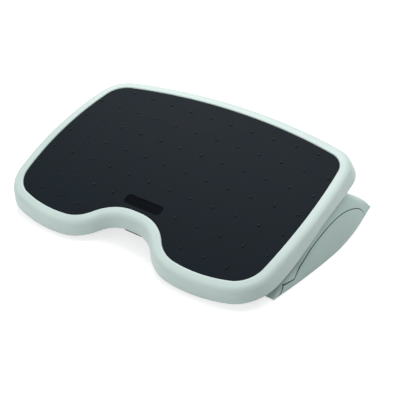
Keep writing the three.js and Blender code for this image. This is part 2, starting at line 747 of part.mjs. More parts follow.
// One section of the pod across its length, drawn in by a wall for the hollow inside
function podSection(along, inset) {
  const y = POD_NOSE_Y + POD_LENGTH * along;
  const bottom = POD_FLOOR_GAP + POD_HEIGHT * shareAt(POD_BOTTOM_LINE, along);
  const top = POD_FLOOR_GAP + POD_HEIGHT * shareAt(POD_TOP_LINE, along) - inset;
  const outer = podOuterX(y) - inset;
  const width = podOuterX(y) - POD_HALF_SPAN + POD_WIDTH - inset * 2;
  const low = inset > 0 ? bottom - OVERRUN : bottom;
  return POD_SECTION_SHARE.map(([inward, up], corner) => {
    const isFoot = corner === 0 || corner === POD_SECTION_SHARE.length - 1;
    const height = isFoot ? low : bottom + (top - bottom) * up;
    return [outer - width * inward, y, height];
  });
}

function podSolid(inset, from, to) {
  const loops = Array.from({ length: POD_STATIONS + 1 }, (_, step) => (
    podSection(from + ((to - from) * step) / POD_STATIONS, inset)
  ));
  return lofted(loops, false);
}

// Everything outside the given x and below the parting line, which may be shifted outward
function belowParting(fromX, shift) {
  const line = PARTING_LINE.map(([along, up]) => (
    [POD_NOSE_Y + POD_LENGTH * along, POD_FLOOR_GAP + POD_HEIGHT * up + shift]
  ));
  const first = line[0];
  const last = line[line.length - 1];
  const low = -OVERRUN;
  const rearEdge = last[0] + WALL + shift;
  const side = [[first[0] - shift, low], [first[0] - shift, first[1]], ...line, [rearEdge, low]];
  return sideways(side, fromX, POD_HALF_SPAN + OVERRUN);
}

function podHull() {
  const hollow = podSolid(WALL, POD_SOLID_NOSE / POD_LENGTH, 1 - WALL / POD_LENGTH);
  return podSolid(0, 0, 1).subtract(hollow);
}

// What is cut from a pod for the guide that stands up through it, and for the lock bar
function podCuts() {
  const halfX = COLUMN_WIDTH / 2 + RUNNING_GAP + WALL + SEAM;
  const halfY = COLUMN_LENGTH / 2 + RUNNING_GAP + WALL + SEAM;
  const tower = box(
    [COLUMN_X - halfX, COLUMN_X + halfX],
    [-halfY, halfY],
    [PLATE_TOP, POD_HEIGHT + OVERRUN],
  );
  const inner = POD_HALF_SPAN - POD_WIDTH;
  const slot = box(
    [inner - OVERRUN, inner + OVERRUN],
    [BAR_Y - BAR_RADIUS - SEAM, BAR_Y + BAR_RADIUS + SEAM],
    [-OVERRUN, BAR_HEIGHT + BAR_RADIUS + SEAM],
  );
  const ledge = box(
    [COLUMN_X - halfX - GUIDE_FLANGE, COLUMN_X],
    [-GUIDE_FLANGE_LENGTH / 2 - SEAM, GUIDE_FLANGE_LENGTH / 2 + SEAM],
    [-OVERRUN, PLATE_TOP + GUIDE_FLANGE_THICKNESS + SCREW_HEAD_HEIGHT + SEAM],
  );
  return joined([tower, slot, ledge]);
}

function podShell(hull) {
  const whole = podSolid(0, 0, 1);
  const bosses = POD_SCREW_Y.map((y) => (
    standingRod(POD_SCREW_X, y, POD_BOSS_RADIUS, PLATE_TOP + CLEARANCE, POD_HEIGHT).intersect(whole)
  ));
  const holes = POD_SCREW_Y.map((y) => screwHole(POD_SCREW_X, y, PLATE_BOTTOM, -1));
  return joined([hull, ...bosses])
    .subtract(belowParting(PANEL_INNER_X - SEAM, SEAM))
    .subtract(podCuts())
    .subtract(plateBody(CLEARANCE, -OVERRUN, PLATE_TOP + CLEARANCE))
    .subtract(joined(holes));
}

function sidePanel(hull) {
  return hull.intersect(belowParting(PANEL_INNER_X, 0));
}

// Columns, guides and locks

// A moulded block, cored from below each side of a web, with the axle's bore through its head
function liftColumn() {
  const half = COLUMN_LENGTH / 2;
  const [from, to] = [COLUMN_X - COLUMN_WIDTH / 2, COLUMN_X + COLUMN_WIDTH / 2];
  const foot = PLATE_TOP + CLEARANCE;
  const neck = AXLE_HEIGHT - COLUMN_TOP_RADIUS * 2;
  const head = arcPoints(0, AXLE_HEIGHT, COLUMN_TOP_RADIUS, 0, Math.PI, SMALL_SIDES);
  const body = sideways([[-half, foot], [half, foot], [half, neck], ...head, [-half, neck]], from, to);
  const bore = lyingRod(0, AXLE_HEIGHT, AXLE_RADIUS + CLEARANCE, from - OVERRUN, to + OVERRUN);
  const cores = [[-half + WALL, -COLUMN_WEB / 2], [COLUMN_WEB / 2, half - WALL]].map((span) => (
    box([from + WALL, to - WALL], span, [foot - OVERRUN, neck - WALL])
  ));
  return body.subtract(joined([bore, ...cores]));
}

function columnGuide() {
  const [halfX, halfY] = [COLUMN_WIDTH / 2 + RUNNING_GAP, COLUMN_LENGTH / 2 + RUNNING_GAP];
  const heights = [PLATE_TOP + CLEARANCE, GUIDE_TOP];
  const [outerX, outerY] = [halfX + WALL, halfY + WALL];
  const tube = box([COLUMN_X - outerX, COLUMN_X + outerX], [-outerY, outerY], heights);
  const flangeX = outerX + GUIDE_FLANGE;
  const flange = box(
    [COLUMN_X - flangeX, COLUMN_X + flangeX],
    [-GUIDE_FLANGE_LENGTH / 2, GUIDE_FLANGE_LENGTH / 2],
    [heights[0], PLATE_TOP + GUIDE_FLANGE_THICKNESS],
  );
  const bore = box(
    [COLUMN_X - halfX, COLUMN_X + halfX],
    [-halfY, halfY],
    [heights[0] - OVERRUN, GUIDE_TOP + OVERRUN],
  );
  const window = box(
    [COLUMN_X - GUIDE_WINDOW_WIDTH / 2, COLUMN_X + GUIDE_WINDOW_WIDTH / 2],
    [-outerY - OVERRUN, 0],
    [BAR_HEIGHT - WALL, BAR_HEIGHT + CAM_TOE_HEIGHT + WALL],
  );
  const holes = guideScrewSpots().map(([, x]) => screwHole(x, 0, PLATE_TOP + GUIDE_FLANGE_THICKNESS, 1));
  return tube.add(flange).subtract(joined([bore, window, ...holes]));
}

// The cam's toe bears on the column just above the bar, so a load on the platform jams it tighter
function lockingCam() {
  const [from, to] = [COLUMN_X - CAM_WIDTH / 2, COLUMN_X + CAM_WIDTH / 2];
  const face = -COLUMN_LENGTH / 2 - CLEARANCE;
  const toeTop = BAR_HEIGHT + CAM_TOE_HEIGHT;
  const side = [
    [BAR_Y, BAR_HEIGHT + BAR_RADIUS], [face, BAR_HEIGHT + CLEARANCE], [face, toeTop],
    [face - CAM_TOE_NECK, toeTop], [BAR_Y, BAR_HEIGHT + CAM_HUB_RADIUS],
  ];
  const bore = lyingRod(BAR_Y, BAR_HEIGHT, BAR_RADIUS + CLEARANCE, from - OVERRUN, to + OVERRUN);
  return sideways(side, from, to).add(lyingRod(BAR_Y, BAR_HEIGHT, CAM_HUB_RADIUS, from, to)).subtract(bore);
}

function barBearing() {
  const [from, to] = [BEARING_X - BEARING_WIDTH / 2, BEARING_X + BEARING_WIDTH / 2];
  const [half, foot] = [BEARING_LENGTH / 2, BEARING_LENGTH / 2 + BEARING_FLANGE];
  const [low, ledge] = [PLATE_TOP + CLEARANCE, PLATE_TOP + BEARING_FLANGE_THICKNESS];
  const shoulder = BEARING_TOP - BAR_RADIUS;
  const side = [
    [-foot, low], [foot, low], [foot, ledge], [half, ledge], [half, shoulder],
    [half / 2, BEARING_TOP], [-half / 2, BEARING_TOP], [-half, shoulder], [-half, ledge], [-foot, ledge],
  ].map(([y, z]) => [y + BAR_Y, z]);
  const bore = lyingRod(BAR_Y, BAR_HEIGHT, BAR_RADIUS + RUNNING_GAP, from - OVERRUN, to + OVERRUN);
  const holes = bearingScrewSpots().map(([, y]) => screwHole(BEARING_X, y, ledge, 1));
  return sideways(side, from, to).subtract(joined([bore, ...holes]));
}

const PEDAL_REAR_Y = PEDAL_FRONT_Y + PEDAL_PLATE_LENGTH;
const PEDAL_MIDDLE_Y = PEDAL_FRONT_Y + PEDAL_PLATE_LENGTH / 2;

function pedal() {
  const low = PEDAL_TOP - PEDAL_THICKNESS;
  const plan = roundedRectangle(0, PEDAL_MIDDLE_Y, PEDAL_HALF_WIDTH * 2, PEDAL_PLATE_LENGTH, PEDAL_CORNER);
  const plate = upright(plan, low, PEDAL_TOP);
  const hub = PEDAL_HUB_RADIUS;
  const side = [
    [BAR_Y, BAR_HEIGHT - hub / 2], [BAR_Y, BAR_HEIGHT + hub],
    [PEDAL_REAR_Y - OVERRUN, PEDAL_TOP - CLEARANCE], [PEDAL_MIDDLE_Y, low + CLEARANCE],
    [PEDAL_MIDDLE_Y, low - PEDAL_THICKNESS / 2], [PEDAL_REAR_Y, low - PEDAL_THICKNESS],
  ];
  const arm = sideways(side, PEDAL_ARM_X, PEDAL_ARM_X + PEDAL_ARM_THICKNESS);
  const tube = lyingRod(BAR_Y, BAR_HEIGHT, hub, -PEDAL_HUB_HALF, PEDAL_HUB_HALF);
  const bore = lyingRod(
    BAR_Y, BAR_HEIGHT, BAR_RADIUS + CLEARANCE, -PEDAL_HUB_HALF - OVERRUN, PEDAL_HUB_HALF + OVERRUN,
  );
  return joined([plate, arm, mirrored(arm), tube]).subtract(bore);
}

function pedalTread() {
  const low = PEDAL_TOP + CLEARANCE;
  const top = low + TREAD_THICKNESS;
  const from = PEDAL_FRONT_Y + TREAD_MARGIN;
  const to = PEDAL_REAR_Y - TREAD_MARGIN;
  const pitch = (to - from) / TREAD_RIDGES;
  const ridges = Array.from({ length: TREAD_RIDGES }, (_, step) => {
    const start = to - step * pitch;
    return [[start, top], [start - pitch * 0.3, top + TREAD_RIDGE_RISE], [start - pitch * 0.7, top]];
  });
  const side = [[from, low], [to, low], ...ridges.flat(), [from, top]];
  const wide = PEDAL_HALF_WIDTH - TREAD_MARGIN;
  const plan = roundedRectangle(0, PEDAL_MIDDLE_Y, wide * 2, to - from, PEDAL_CORNER - TREAD_MARGIN);
  return sideways(side, -wide, wide).intersect(upright(plan, low - OVERRUN, top + OVERRUN));
}

// The spring's middle line: a leg from under the pedal, the curls, and a leg back along the plate
function springPath() {
  const start = PEDAL_HUB_HALF + SPRING_WIRE_RADIUS * 2;
  const low = PLATE_TOP + CLEARANCE + SPRING_WIRE_RADIUS;
  const radius = BAR_HEIGHT - low;
  const steps = SPRING_CURLS * SPRING_STEPS_PER_CURL;
  const points = Array.from({ length: steps + 1 }, (_, step) => {
    const turn = (step / SPRING_STEPS_PER_CURL) * Math.PI * 2 - Math.PI / 2;
    return new THREE.Vector3(
      start + (SPRING_PITCH * step) / SPRING_STEPS_PER_CURL,
      BAR_Y + radius * Math.cos(turn),
      BAR_HEIGHT + radius * Math.sin(turn),
    );
  });
  const underPedal = PEDAL_TOP - PEDAL_THICKNESS - CLEARANCE - SPRING_WIRE_RADIUS;
  const first = new THREE.Vector3(start, PEDAL_REAR_Y - SPRING_LAP, underPedal);
  const last = points[steps].clone().add(new THREE.Vector3(0, SPRING_REAR_LEG, 0));
  return [first, ...points, last];
}

function springGap(path) {
  let least = Infinity;
  const apart = SPRING_STEPS_PER_CURL / 2;
  path.forEach((point, here) => {
    path.slice(here + apart).forEach((other) => {
      least = Math.min(least, point.distanceTo(other));
    });
  });
  return least - SPRING_WIRE_RADIUS * 2;
}

function pedalSpring() {
  const path = springPath();
  console.log(`pedal spring: least gap to itself ${springGap(path).toFixed(2)} mm`);
  const along = new THREE.Vector3(1, 0, 0);
  const loops = path.map((point, step) => {
    const before = path[Math.max(step - 1, 0)];
    const after = path[Math.min(step + 1, path.length - 1)];
    const forward = after.clone().sub(before).normalize();
    const across = along.clone().addScaledVector(forward, -along.dot(forward)).normalize();
    const outward = forward.clone().cross(across);
    return Array.from({ length: SPRING_SIDES }, (_, side) => {
      const turn = (side / SPRING_SIDES) * Math.PI * 2;
      return point.clone()
        .addScaledVector(across, SPRING_WIRE_RADIUS * Math.cos(turn))
        .addScaledVector(outward, SPRING_WIRE_RADIUS * Math.sin(turn))
        .toArray();
    });
  });
  return lofted(loops, false);
}

function buildBase() {
  const hull = podHull();
  addPiece(footrest, "base_plate", basePlate(), SHADED_PLASTIC);
  addPair(footrest, "pod_shell", podShell(hull), SHADED_PLASTIC);
  addPair(footrest, "side_panel", sidePanel(hull), SHADED_PLASTIC);
  addPair(footrest, "column_guide", columnGuide(), DARK_PLASTIC);
  addPair(footrest, "bar_bearing", barBearing(), NYLON);
  footSpots().forEach(([place, y]) => addPair(footrest, `rubber_foot_${place}`, rubberFoot(y), RUBBER));
  guideScrewSpots().forEach(([place, x]) => {
    const seat = PLATE_TOP + GUIDE_FLANGE_THICKNESS;
    addPair(footrest, `guide_screw_${place}`, screwAt(x, 0, seat, 1), STEEL);
  });
  bearingScrewSpots().forEach(([place, y]) => {
    const seat = PLATE_TOP + BEARING_FLANGE_THICKNESS;
    addPair(footrest, `bearing_screw_${place}`, screwAt(BEARING_X, y, seat, 1), STEEL);
  });
  ["front", "rear"].forEach((place, index) => {
    const screw = screwAt(POD_SCREW_X, POD_SCREW_Y[index], PLATE_BOTTOM, -1);
    addPair(footrest, `pod_screw_${place}`, screw, STEEL);
  });
  addPiece(footrest, "pedal_spring", pedalSpring(), STEEL);
}

function buildCarriage() {
  const end = COLUMN_X + COLUMN_WIDTH / 2 + CLEARANCE;
  addPair(footrest, "lift_column", liftColumn(), DARK_PLASTIC);
  const reach = end + CLIP_THICKNESS + CLEARANCE;
  addPiece(footrest, "tilt_axle", lyingRod(0, AXLE_HEIGHT, AXLE_RADIUS, -reach, reach), STEEL);
  const clip = lyingTube(0, AXLE_HEIGHT, CLIP_RADIUS, AXLE_RADIUS + CLEARANCE, end, end + CLIP_THICKNESS);
  addPair(footrest, "axle_clip", clip, STEEL);
}

function buildPedal() {
  const bar = lyingRod(BAR_Y, BAR_HEIGHT, BAR_RADIUS, -BAR_HALF_LENGTH, BAR_HALF_LENGTH);
  addPiece(footrest, "lock_bar", bar, STEEL);
  addPiece(footrest, "foot_pedal", pedal(), DARK_PLASTIC);
  addPiece(footrest, "pedal_tread", pedalTread(), RUBBER);
  addPair(footrest, "locking_cam", lockingCam(), STEEL);
}

buildBase();
buildCarriage();
buildPedal();
buildPlatform();

// The origin is on the floor under the middle of the whole
footrest.updateMatrixWorld(true);
const bounds = new THREE.Box3().setFromObject(footrest, true);
const middleY = (bounds.min.y + bounds.max.y) / 2;
footrest.position.y = -middleY;

console.log(`tilt axle at y ${(-middleY).toFixed(3)}, z ${AXLE_HEIGHT}`);
console.log(`lock bar at y ${(BAR_Y - middleY).toFixed(3)}, z ${BAR_HEIGHT}`);

export default footrest;
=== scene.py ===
# %% [markdown]
# # A tilting under-desk footrest
#
# The real object is a pale moulded platform with a dark rubber mat let into its top. It tilts
# on an axle between two low pods. The imported CAD model gives every piece its place, so the
# work here is to give the pieces that show smooth shapes and believable finishes.
#
# The first cell loads that model. Every CAD node comes in with its place in its vertices, in
# metres.

# %% Load the imported model
import json
import math
import bmesh
import bpy
from mathutils import Matrix, Vector


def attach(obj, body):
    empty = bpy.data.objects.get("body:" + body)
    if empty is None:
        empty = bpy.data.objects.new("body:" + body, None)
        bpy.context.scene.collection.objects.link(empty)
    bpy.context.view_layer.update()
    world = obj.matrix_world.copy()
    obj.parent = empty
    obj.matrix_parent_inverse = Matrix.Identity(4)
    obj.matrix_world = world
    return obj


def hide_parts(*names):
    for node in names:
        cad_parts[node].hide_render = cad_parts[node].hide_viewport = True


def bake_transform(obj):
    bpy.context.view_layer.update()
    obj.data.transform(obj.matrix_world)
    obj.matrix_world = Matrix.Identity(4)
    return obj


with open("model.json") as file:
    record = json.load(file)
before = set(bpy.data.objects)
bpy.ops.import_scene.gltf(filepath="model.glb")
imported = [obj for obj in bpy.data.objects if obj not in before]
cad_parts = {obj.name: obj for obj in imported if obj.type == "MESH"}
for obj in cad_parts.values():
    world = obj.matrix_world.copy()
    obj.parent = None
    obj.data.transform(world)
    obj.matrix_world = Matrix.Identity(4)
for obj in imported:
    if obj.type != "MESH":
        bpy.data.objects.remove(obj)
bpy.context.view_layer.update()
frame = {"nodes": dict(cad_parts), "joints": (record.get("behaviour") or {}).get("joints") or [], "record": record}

# %% [markdown]
# ## Working in millimetres
#
# Shapes are worked out in millimetres, flat, as a drawing would give them, and are only then
# carried to their place. The platform is drawn with its top level: a point of it is first
# lowered by the crown, the gentle arch of the whole top from heel to toe, and is then tilted
# about the axle. The pods and the base are drawn from the point on the floor under the axle.

# %% Places and the ways to them
MM = 0.001
TILT_JOINT = next(joint for joint in frame["joints"] if joint["name"] == "tilt")
AXLE = Vector(TILT_JOINT["pos_m"]) / MM
TILT = math.radians(19.2)
CROWN_RADIUS = 1375
AXLE_DEPTH = 22


def crown_at(y):
    """Height of the crowned top at y, which is 0 in its middle and less towards both ends."""
    return math.sqrt(CROWN_RADIUS**2 - y**2) - CROWN_RADIUS


def on_bracket(point):
    """From the flat drawing of what hangs under the platform to its place, without the crown."""
    x, y, z = point
    up = z + AXLE_DEPTH
    return Vector((
        x,
        AXLE.y + y * math.cos(TILT) - up * math.sin(TILT),
        AXLE.z + y * math.sin(TILT) + up * math.cos(TILT),
    ))


def on_platform(point):
    """From the flat drawing of the platform to its place, with the crown."""
    x, y, z = point
    return on_bracket((x, y, z + crown_at(y)))


def on_base(point):
    """From a drawing over the axle's foot to its place."""
    return Vector((point[0], point[1] + AXLE.y, point[2]))


print("axle at", [round(v, 2) for v in AXLE], "mm")

# %% [markdown]
# ## Meshes from loops
#
# A loft joins loops of equal length, like ribs planked over on a boat, and closes both ends.
# It suits every long moulded shape here. Outlines seen from above are stacked, and side views
# are drawn out along x.

# %% Loft, prism and block
def new_object(name, data):
    obj = bpy.data.objects.new(name, data)
    bpy.context.scene.collection.objects.link(obj)
    return obj


def solid(name, points, faces):
    mesh = bpy.data.meshes.new(name)
    mesh.from_pydata([tuple(point) for point in points], [], faces)
    return new_object(name, mesh)


def face_outward(mesh):
    work = bmesh.new()
    work.from_mesh(mesh)
    if work.calc_volume(signed=True) < 0:
        bmesh.ops.reverse_faces(work, faces=work.faces)
    work.to_mesh(mesh)
    work.free()


def loft(name, loops):
    count = len(loops[0])
    last = (len(loops) - 1) * count
    faces = [list(range(count))[::-1]]
    for here in range(0, last, count):
        there = here + count
        for step in range(count):
            after = (step + 1) % count
            faces.append([here + step, here + after, there + after, there + step])
    faces.append([last + step for step in range(count)])
    obj = solid(name, [point for loop in loops for point in loop], faces)
    face_outward(obj.data)
    return obj


def stacked(name, layers):
    """A loft of (outline, height) layers."""
    return loft(name, [[(x, y, z) for x, y in points] for points, z in layers])


def prism(name, points, low, high):
    return stacked(name, [(points, low), (points, high)])


def drawn_out(name, side, start, end):
    """A side view, as (y, z) points, drawn out along x."""
    return loft(name, [[(x, y, z) for y, z in side] for x in (start, end)])


def block(name, low, high):
    corners = [(low[0], low[1]), (high[0], low[1]), (high[0], high[1]), (low[0], high[1])]
    return prism(name, corners, low[2], high[2])


# %% [markdown]
# ## Outlines
#
# Moulded and turned parts are bounded by arcs, so one function steps along an arc, and circles
# and rounded rectangles are made of it.

# %% Arcs and outlines
CORNER_STEPS = 8


def arc(x, y, radius, start, end, steps):
    angles = [start + (end - start) * step / steps for step in range(steps + 1)]
    return [(x + radius * math.cos(angle), y + radius * math.sin(angle)) for angle in angles]


def circle(x, y, radius, sides):
    return arc(x, y, radius, 0, math.tau * (sides - 1) / sides, sides - 1)


def rounded_outline(y, width, length, corner):
    """A rectangle with round corners, its middle at x = 0 and the given y."""
    points = []
    for turn, (side_x, side_y) in enumerate([(1, 1), (-1, 1), (-1, -1), (1, -1)]):
        centre = (side_x * (width / 2 - corner), y + side_y * (length / 2 - corner))
        start, end = turn * math.pi / 2, (turn + 1) * math.pi / 2
        points += arc(*centre, corner, start, end, CORNER_STEPS)
    return points


print("points of a rounded rectangle:", len(rounded_outline(0, 60, 40, 9)))

# %% [markdown]
# ## Joining, cutting and mirroring
#
# Where two solids meet or one is cut from another, Blender's exact boolean does what the
# moulder's tool does. Its modifier is run once, its result is kept as a plain mesh, and the
# solids that it used are deleted. The footrest is the same on both sides, so a right-hand
# piece gives its left twin by a mirror, which turns the faces inside out unless they are
# flipped back.

# %% Booleans and mirror images
def run_modifiers(obj):
    """Keeps what the modifiers make of the object as its plain mesh."""
    evaluated = obj.evaluated_get(bpy.context.evaluated_depsgraph_get())
    mesh = bpy.data.meshes.new_from_object(evaluated)
    obj.modifiers.clear()
    obj.data = mesh
    return obj


def combine(target, others, operation):
    """Joins, cuts or crosses the target with each of the others, which are used up."""
    for other in others:
        modifier = target.modifiers.new(operation, "BOOLEAN")
        modifier.operation = operation
        modifier.solver = "EXACT"
        modifier.object = other
    run_modifiers(target)
    for other in others:
        bpy.data.objects.remove(other)
    return target


def mirrored(obj, name):
    twin = new_object(name, obj.data.copy())
    twin.data.transform(Matrix.Diagonal((-1, 1, 1, 1)))
    twin.data.flip_normals()
    return twin


# %% [markdown]
# ## Finishing a piece
#
# `finish_piece` carries the mesh to its place, marks as sharp only the edges that turn by more
# than 35 degrees, and lets it ride on its CAD body in place of the CAD nodes that it stands
# for. A pair is one piece and its twin, and their nodes' names end in right and left.

# %% Pieces and pairs
SHARP_ANGLE = 35


def both_sides(names):
    return [f"{name}_{side}" for name in names for side in ("right", "left")]


def finish_piece(obj, carry, body, nodes, material):
    for vertex in obj.data.vertices:
        vertex.co = carry(vertex.co) * MM
    obj.data.shade_smooth()
    obj.data.set_sharp_from_angle(angle=math.radians(SHARP_ANGLE))
    obj.data.materials.clear()
    obj.data.materials.append(material)
    if body:
        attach(obj, body)
    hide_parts(*nodes)
    print(f"{obj.name}: {len(obj.data.polygons)} faces")


def finish_pair(right, carry, body, node, material):
    left = mirrored(right, f"{right.name}_left")
    right.name = f"{right.name}_right"
    for half, half_node in zip((right, left), both_sides([node])):
        finish_piece(half, carry, body, [half_node], material)
    return right, left


def paint_faces(obj, material, faces):
    """Gives some faces of a finished piece a finish of their own."""
    obj.data.materials.append(material)
    for face in faces:
        obj.data.polygons[face].material_index = len(obj.data.materials) - 1


# %% [markdown]
# ## Building finishes
#
# Colours are written as the sRGB hex values that a paint program shows. The shader wants
# linear light, so one function turns them. Another adds a node with its settings and links.
# All finishes of the footrest are built alike from a few named patterns: the colour lies between
# two tones, the roughness between two limits, and the relief follows a texture. What is the
# same all over is set on the shader itself.

# %% Finish helpers
PATTERN_LOW, PATTERN_HIGH = 0.3, 0.7


def linear(hex_colour):
    """The linear colour of an sRGB hex value, by the formula of the sRGB standard."""
    parts = [int(hex_colour[first : first + 2], 16) / 255 for first in (1, 3, 5)]
    lit = [p / 12.92 if p <= 0.04045 else ((p + 0.055) / 1.055) ** 2.4 for p in parts]
    return (*lit, 1)


def add_node(tree, kind, settings, links=None):
    """Adds a node. Sockets go by name, or by number where several have the same name."""
    node = tree.nodes.new(kind)
    for name, value in settings.items():
        if isinstance(name, int) or name in node.inputs:
            node.inputs[name].default_value = value
        else:
            setattr(node, name, value)
    for name, source in (links or {}).items():
        tree.links.new(source, node.inputs[name])
    return node


def new_material(name):
    material = bpy.data.materials.new(name)
    material.use_nodes = True
    material.node_tree.nodes.clear()
    return material, material.node_tree


def grains(millimetres, detail=3):
    """A noise whose grains are about the given size across: node, output and settings."""
    settings = {"Scale": 1 / (millimetres * MM), "Detail": detail, "Roughness": 0.55}
    return "ShaderNodeTexNoise", "Fac", settings


def finish(name, patterns, tone, roughness, relief, surface):
    """A material. Its tone is (pattern, hex, hex), its roughness (pattern, middle, swing) and
    its relief (pattern, millimetres, strength). Its surface is what is the same all over."""
    material, tree = new_material(name)
    place = {"Vector": add_node(tree, "ShaderNodeTexCoord", {}).outputs["Object"]}
    drawn = {
        pattern: add_node(tree, kind, settings, place).outputs[output]
        for pattern, (kind, output, settings) in patterns.items()
    }
    rough, middle, swing = roughness
    spread = []
    for pattern, low, high in ((tone[0], 0, 1), (rough, middle - swing, middle + swing)):
        limits = {"From Min": PATTERN_LOW, "From Max": PATTERN_HIGH, "To Min": low, "To Max": high}
        spread.append(add_node(tree, "ShaderNodeMapRange", limits, {"Value": drawn[pattern]}))
    tones = {"data_type": "RGBA", 6: linear(tone[1]), 7: linear(tone[2])}
    colour = add_node(tree, "ShaderNodeMix", tones, {0: spread[0].outputs["Result"]})
    height = {"Distance": relief[1] * MM, "Strength": relief[2]}
    bump = add_node(tree, "ShaderNodeBump", height, {"Height": drawn[relief[0]]})
    links = {"Base Color": colour.outputs[2], "Roughness": spread[1].outputs["Result"]}
    links["Normal"] = bump.outputs["Normal"]
    shader = add_node(tree, "ShaderNodeBsdfPrincipled", surface, links)
    add_node(tree, "ShaderNodeOutputMaterial", {}, {"Surface": shader.outputs[0]})
    return material


print("a mid grey in linear light:", [round(part, 3) for part in linear("#808080")])

# %% [markdown]
# ## Moulded plastic
#
# The platform and the pods are ABS, injected into a tool whose face was spark-eroded. That
# leaves a fine even grain, which spreads every highlight into a soft sheen and hides
# fingerprints. The grain of the real tool is about 0.15 mm. It is drawn at 0.5 mm here, because
# anything finer is lost between the pixels. A second, very slow noise moves the tone by a few
# percent, as thick and thin walls do when they cool. The inside of the groove round the side
# panel is painted a dull dark tone, which is painted shade that makes the groove a dark line.
# The pedal and what slides are acetal, near black and a little smoother. The bushes and
# bearings are natural nylon, off-white and waxy.

# %% ABS, acetal and nylon
PLASTIC_GRAIN, PLASTIC_DRIFT = 0.5, 60


def moulded_plastic(name, light_hex, dark_hex, roughness):
    return finish(
        name,
        {"grain": grains(PLASTIC_GRAIN), "drift": grains(PLASTIC_DRIFT, detail=1)},
        tone=("drift", dark_hex, light_hex),
        roughness=("grain", roughness, 0.06),
        relief=("grain", 0.03, 0.5),
        surface={"IOR": 1.54, "Specular IOR Level": 0.3},
    )


PALE_ABS = moulded_plastic("abs_spark_grain_pale_grey_green", "#C6D6D2", "#BFD0CC", 0.42)
# Also the side panels' finish as painted shade: they are the platform's pale plastic, and this tone is darker.
POD_ABS_AND_PANEL_SHADE = moulded_plastic("abs_spark_grain_grey_green", "#B5CAC6", "#AEC4C0", 0.45)
# Painted shade: the inside of the groove gets this dark tone in place of the shade it holds.
GROOVE_SHADE_ABS = moulded_plastic("abs_dusty_in_groove", "#4A5654", "#434E4C", 0.65)
DARK_ACETAL = moulded_plastic("acetal_moulded_near_black", "#33383C", "#2E3337", 0.38)
NATURAL_NYLON = moulded_plastic("nylon_moulded_natural", "#E8E5DA", "#E2DFD3", 0.45)
PLASTICS = (PALE_ABS, POD_ABS_AND_PANEL_SHADE, GROOVE_SHADE_ABS, DARK_ACETAL, NATURAL_NYLON)
print("plastics:", [plastic.name for plastic in PLASTICS])

# %% [markdown]
# ## Rubber and steel
#
# The mat is a compression-moulded rubber sheet: blue-black, with a fine pebble grain about a
# millimetre across and a little dust in its hollows. The grain shades itself, so it gives back
# far less gloss than smooth rubber does, and its specular level is low. Heels never reach the
# floor of the bare patch, so it holds no dust and stays darker. The tips of the bumps are worn
# smoother and catch tiny lights, and their tone, darker than the mat's, is painted shade. The
# feet and the pedal's tread are plain black rubber.
# The steel parts are cut, pressed and then zinc plated, which leaves a fine cloudy spangle. The
# spring is drawn wire, darker and smoother.

# %% Rubber
RUBBER_PEBBLE, PLAIN_PEBBLE, RUBBER_DUST = 1.1, 0.8, 35


def moulded_rubber(name, dark_hex, dusty_hex, pebble, roughness, gloss=0.045):
    pebbles = ("ShaderNodeTexVoronoi", "Distance", {"Scale": 1 / (pebble * MM)})
    return finish(
        name,
        {"pebbles": pebbles, "dust": grains(RUBBER_DUST, detail=4)},
        tone=("dust", dark_hex, dusty_hex),
        roughness=("dust", roughness, 0.05),
        relief=("pebbles", 0.1, 0.25),
        surface={"IOR": 1.5, "Specular IOR Level": gloss},
    )


MAT_RUBBER = moulded_rubber("rubber_pebbled_blue_black", "#12191E", "#171F25", RUBBER_PEBBLE, 0.6)
PATCH_RUBBER = moulded_rubber(
    "rubber_bare_near_black", "#0C0E11", "#101317", RUBBER_PEBBLE, 0.75, gloss=0.015
)
# The bump tips are worn glossier, and their tone, darker than the mat's, is painted shade.
WORN_AND_SHADED_BUMP_RUBBER = moulded_rubber(
    "rubber_worn_bump_tips", "#0D1216", "#12191E", RUBBER_PEBBLE, 0.35, gloss=0.09
)
BLACK_RUBBER = moulded_rubber("rubber_plain_black", "#1B1D1F", "#212326", PLAIN_PEBBLE, 0.7)
print("rubbers:", MAT_RUBBER.name, PATCH_RUBBER.name, WORN_AND_SHADED_BUMP_RUBBER.name, BLACK_RUBBER.name)

# %% Steel
STEEL_SPANGLE, STEEL_TEXTURE = 3, 0.6


def plated_steel(name, light_hex, dark_hex, roughness):
    return finish(
        name,
        {"spangle": grains(STEEL_SPANGLE, detail=4), "texture": grains(STEEL_TEXTURE)},
        tone=("spangle", dark_hex, light_hex),
        roughness=("spangle", roughness, 0.08),
        relief=("texture", 0.02, 0.3),
        surface={"Metallic": 1},
    )


ZINC_STEEL = plated_steel("steel_zinc_plated", "#C9CCCE", "#B4B8BB", 0.34)
SPRING_WIRE = plated_steel("steel_spring_wire", "#A9ACAE", "#979A9D", 0.26)
print("steels:", ZINC_STEEL.name, SPRING_WIRE.name)

# %% [markdown]
# ## The platform's outline
#
# Seen square on, the mat is bounded by seven arcs a side: a long arc at the back, a corner, a
# slow side, a corner, the front lobe, a shoulder and the heel notch. Growing the outline only
# changes each arc's radius, so the rim, the fold and the skirt stay evenly spaced from it.

# %% Outline
REAR_Y, REAR_RADIUS, REAR_CORNER_RADIUS = 159.2, 887, 39
SIDE_X, SIDE_Y, SIDE_RADIUS = 243, -9.5, 720
LOBE_X, LOBE_Y, LOBE_RADIUS, FRONT_CORNER_RADIUS = 137, -151, 239, 46
NOTCH_X, NOTCH_Y, NOTCH_RADIUS, SHOULDER_RADIUS = 8, -98.4, 79.5, 62
ARC_STEPS = [16, 14, 24, 12, 14, 12, 14]


def crossing(a, radius_a, b, radius_b, side):
    """Where two circles cross, on the chosen side of the line between their centres."""
    reach = b - a
    distance = reach.length
    along = (radius_a**2 - radius_b**2 + distance**2) / (2 * distance)
    across = math.sqrt(radius_a**2 - along**2)
    unit = reach / distance
    return a + unit * along + Vector((-unit.y, unit.x)) * side * across


def fitted(a, radius_a, b, radius_b, radius, side):
    """The centre of a small arc that touches two large ones from inside."""
    return crossing(a, radius_a - radius, b, radius_b - radius, side)


def angle_from(a, b):
    return math.atan2(b.y - a.y, b.x - a.x)


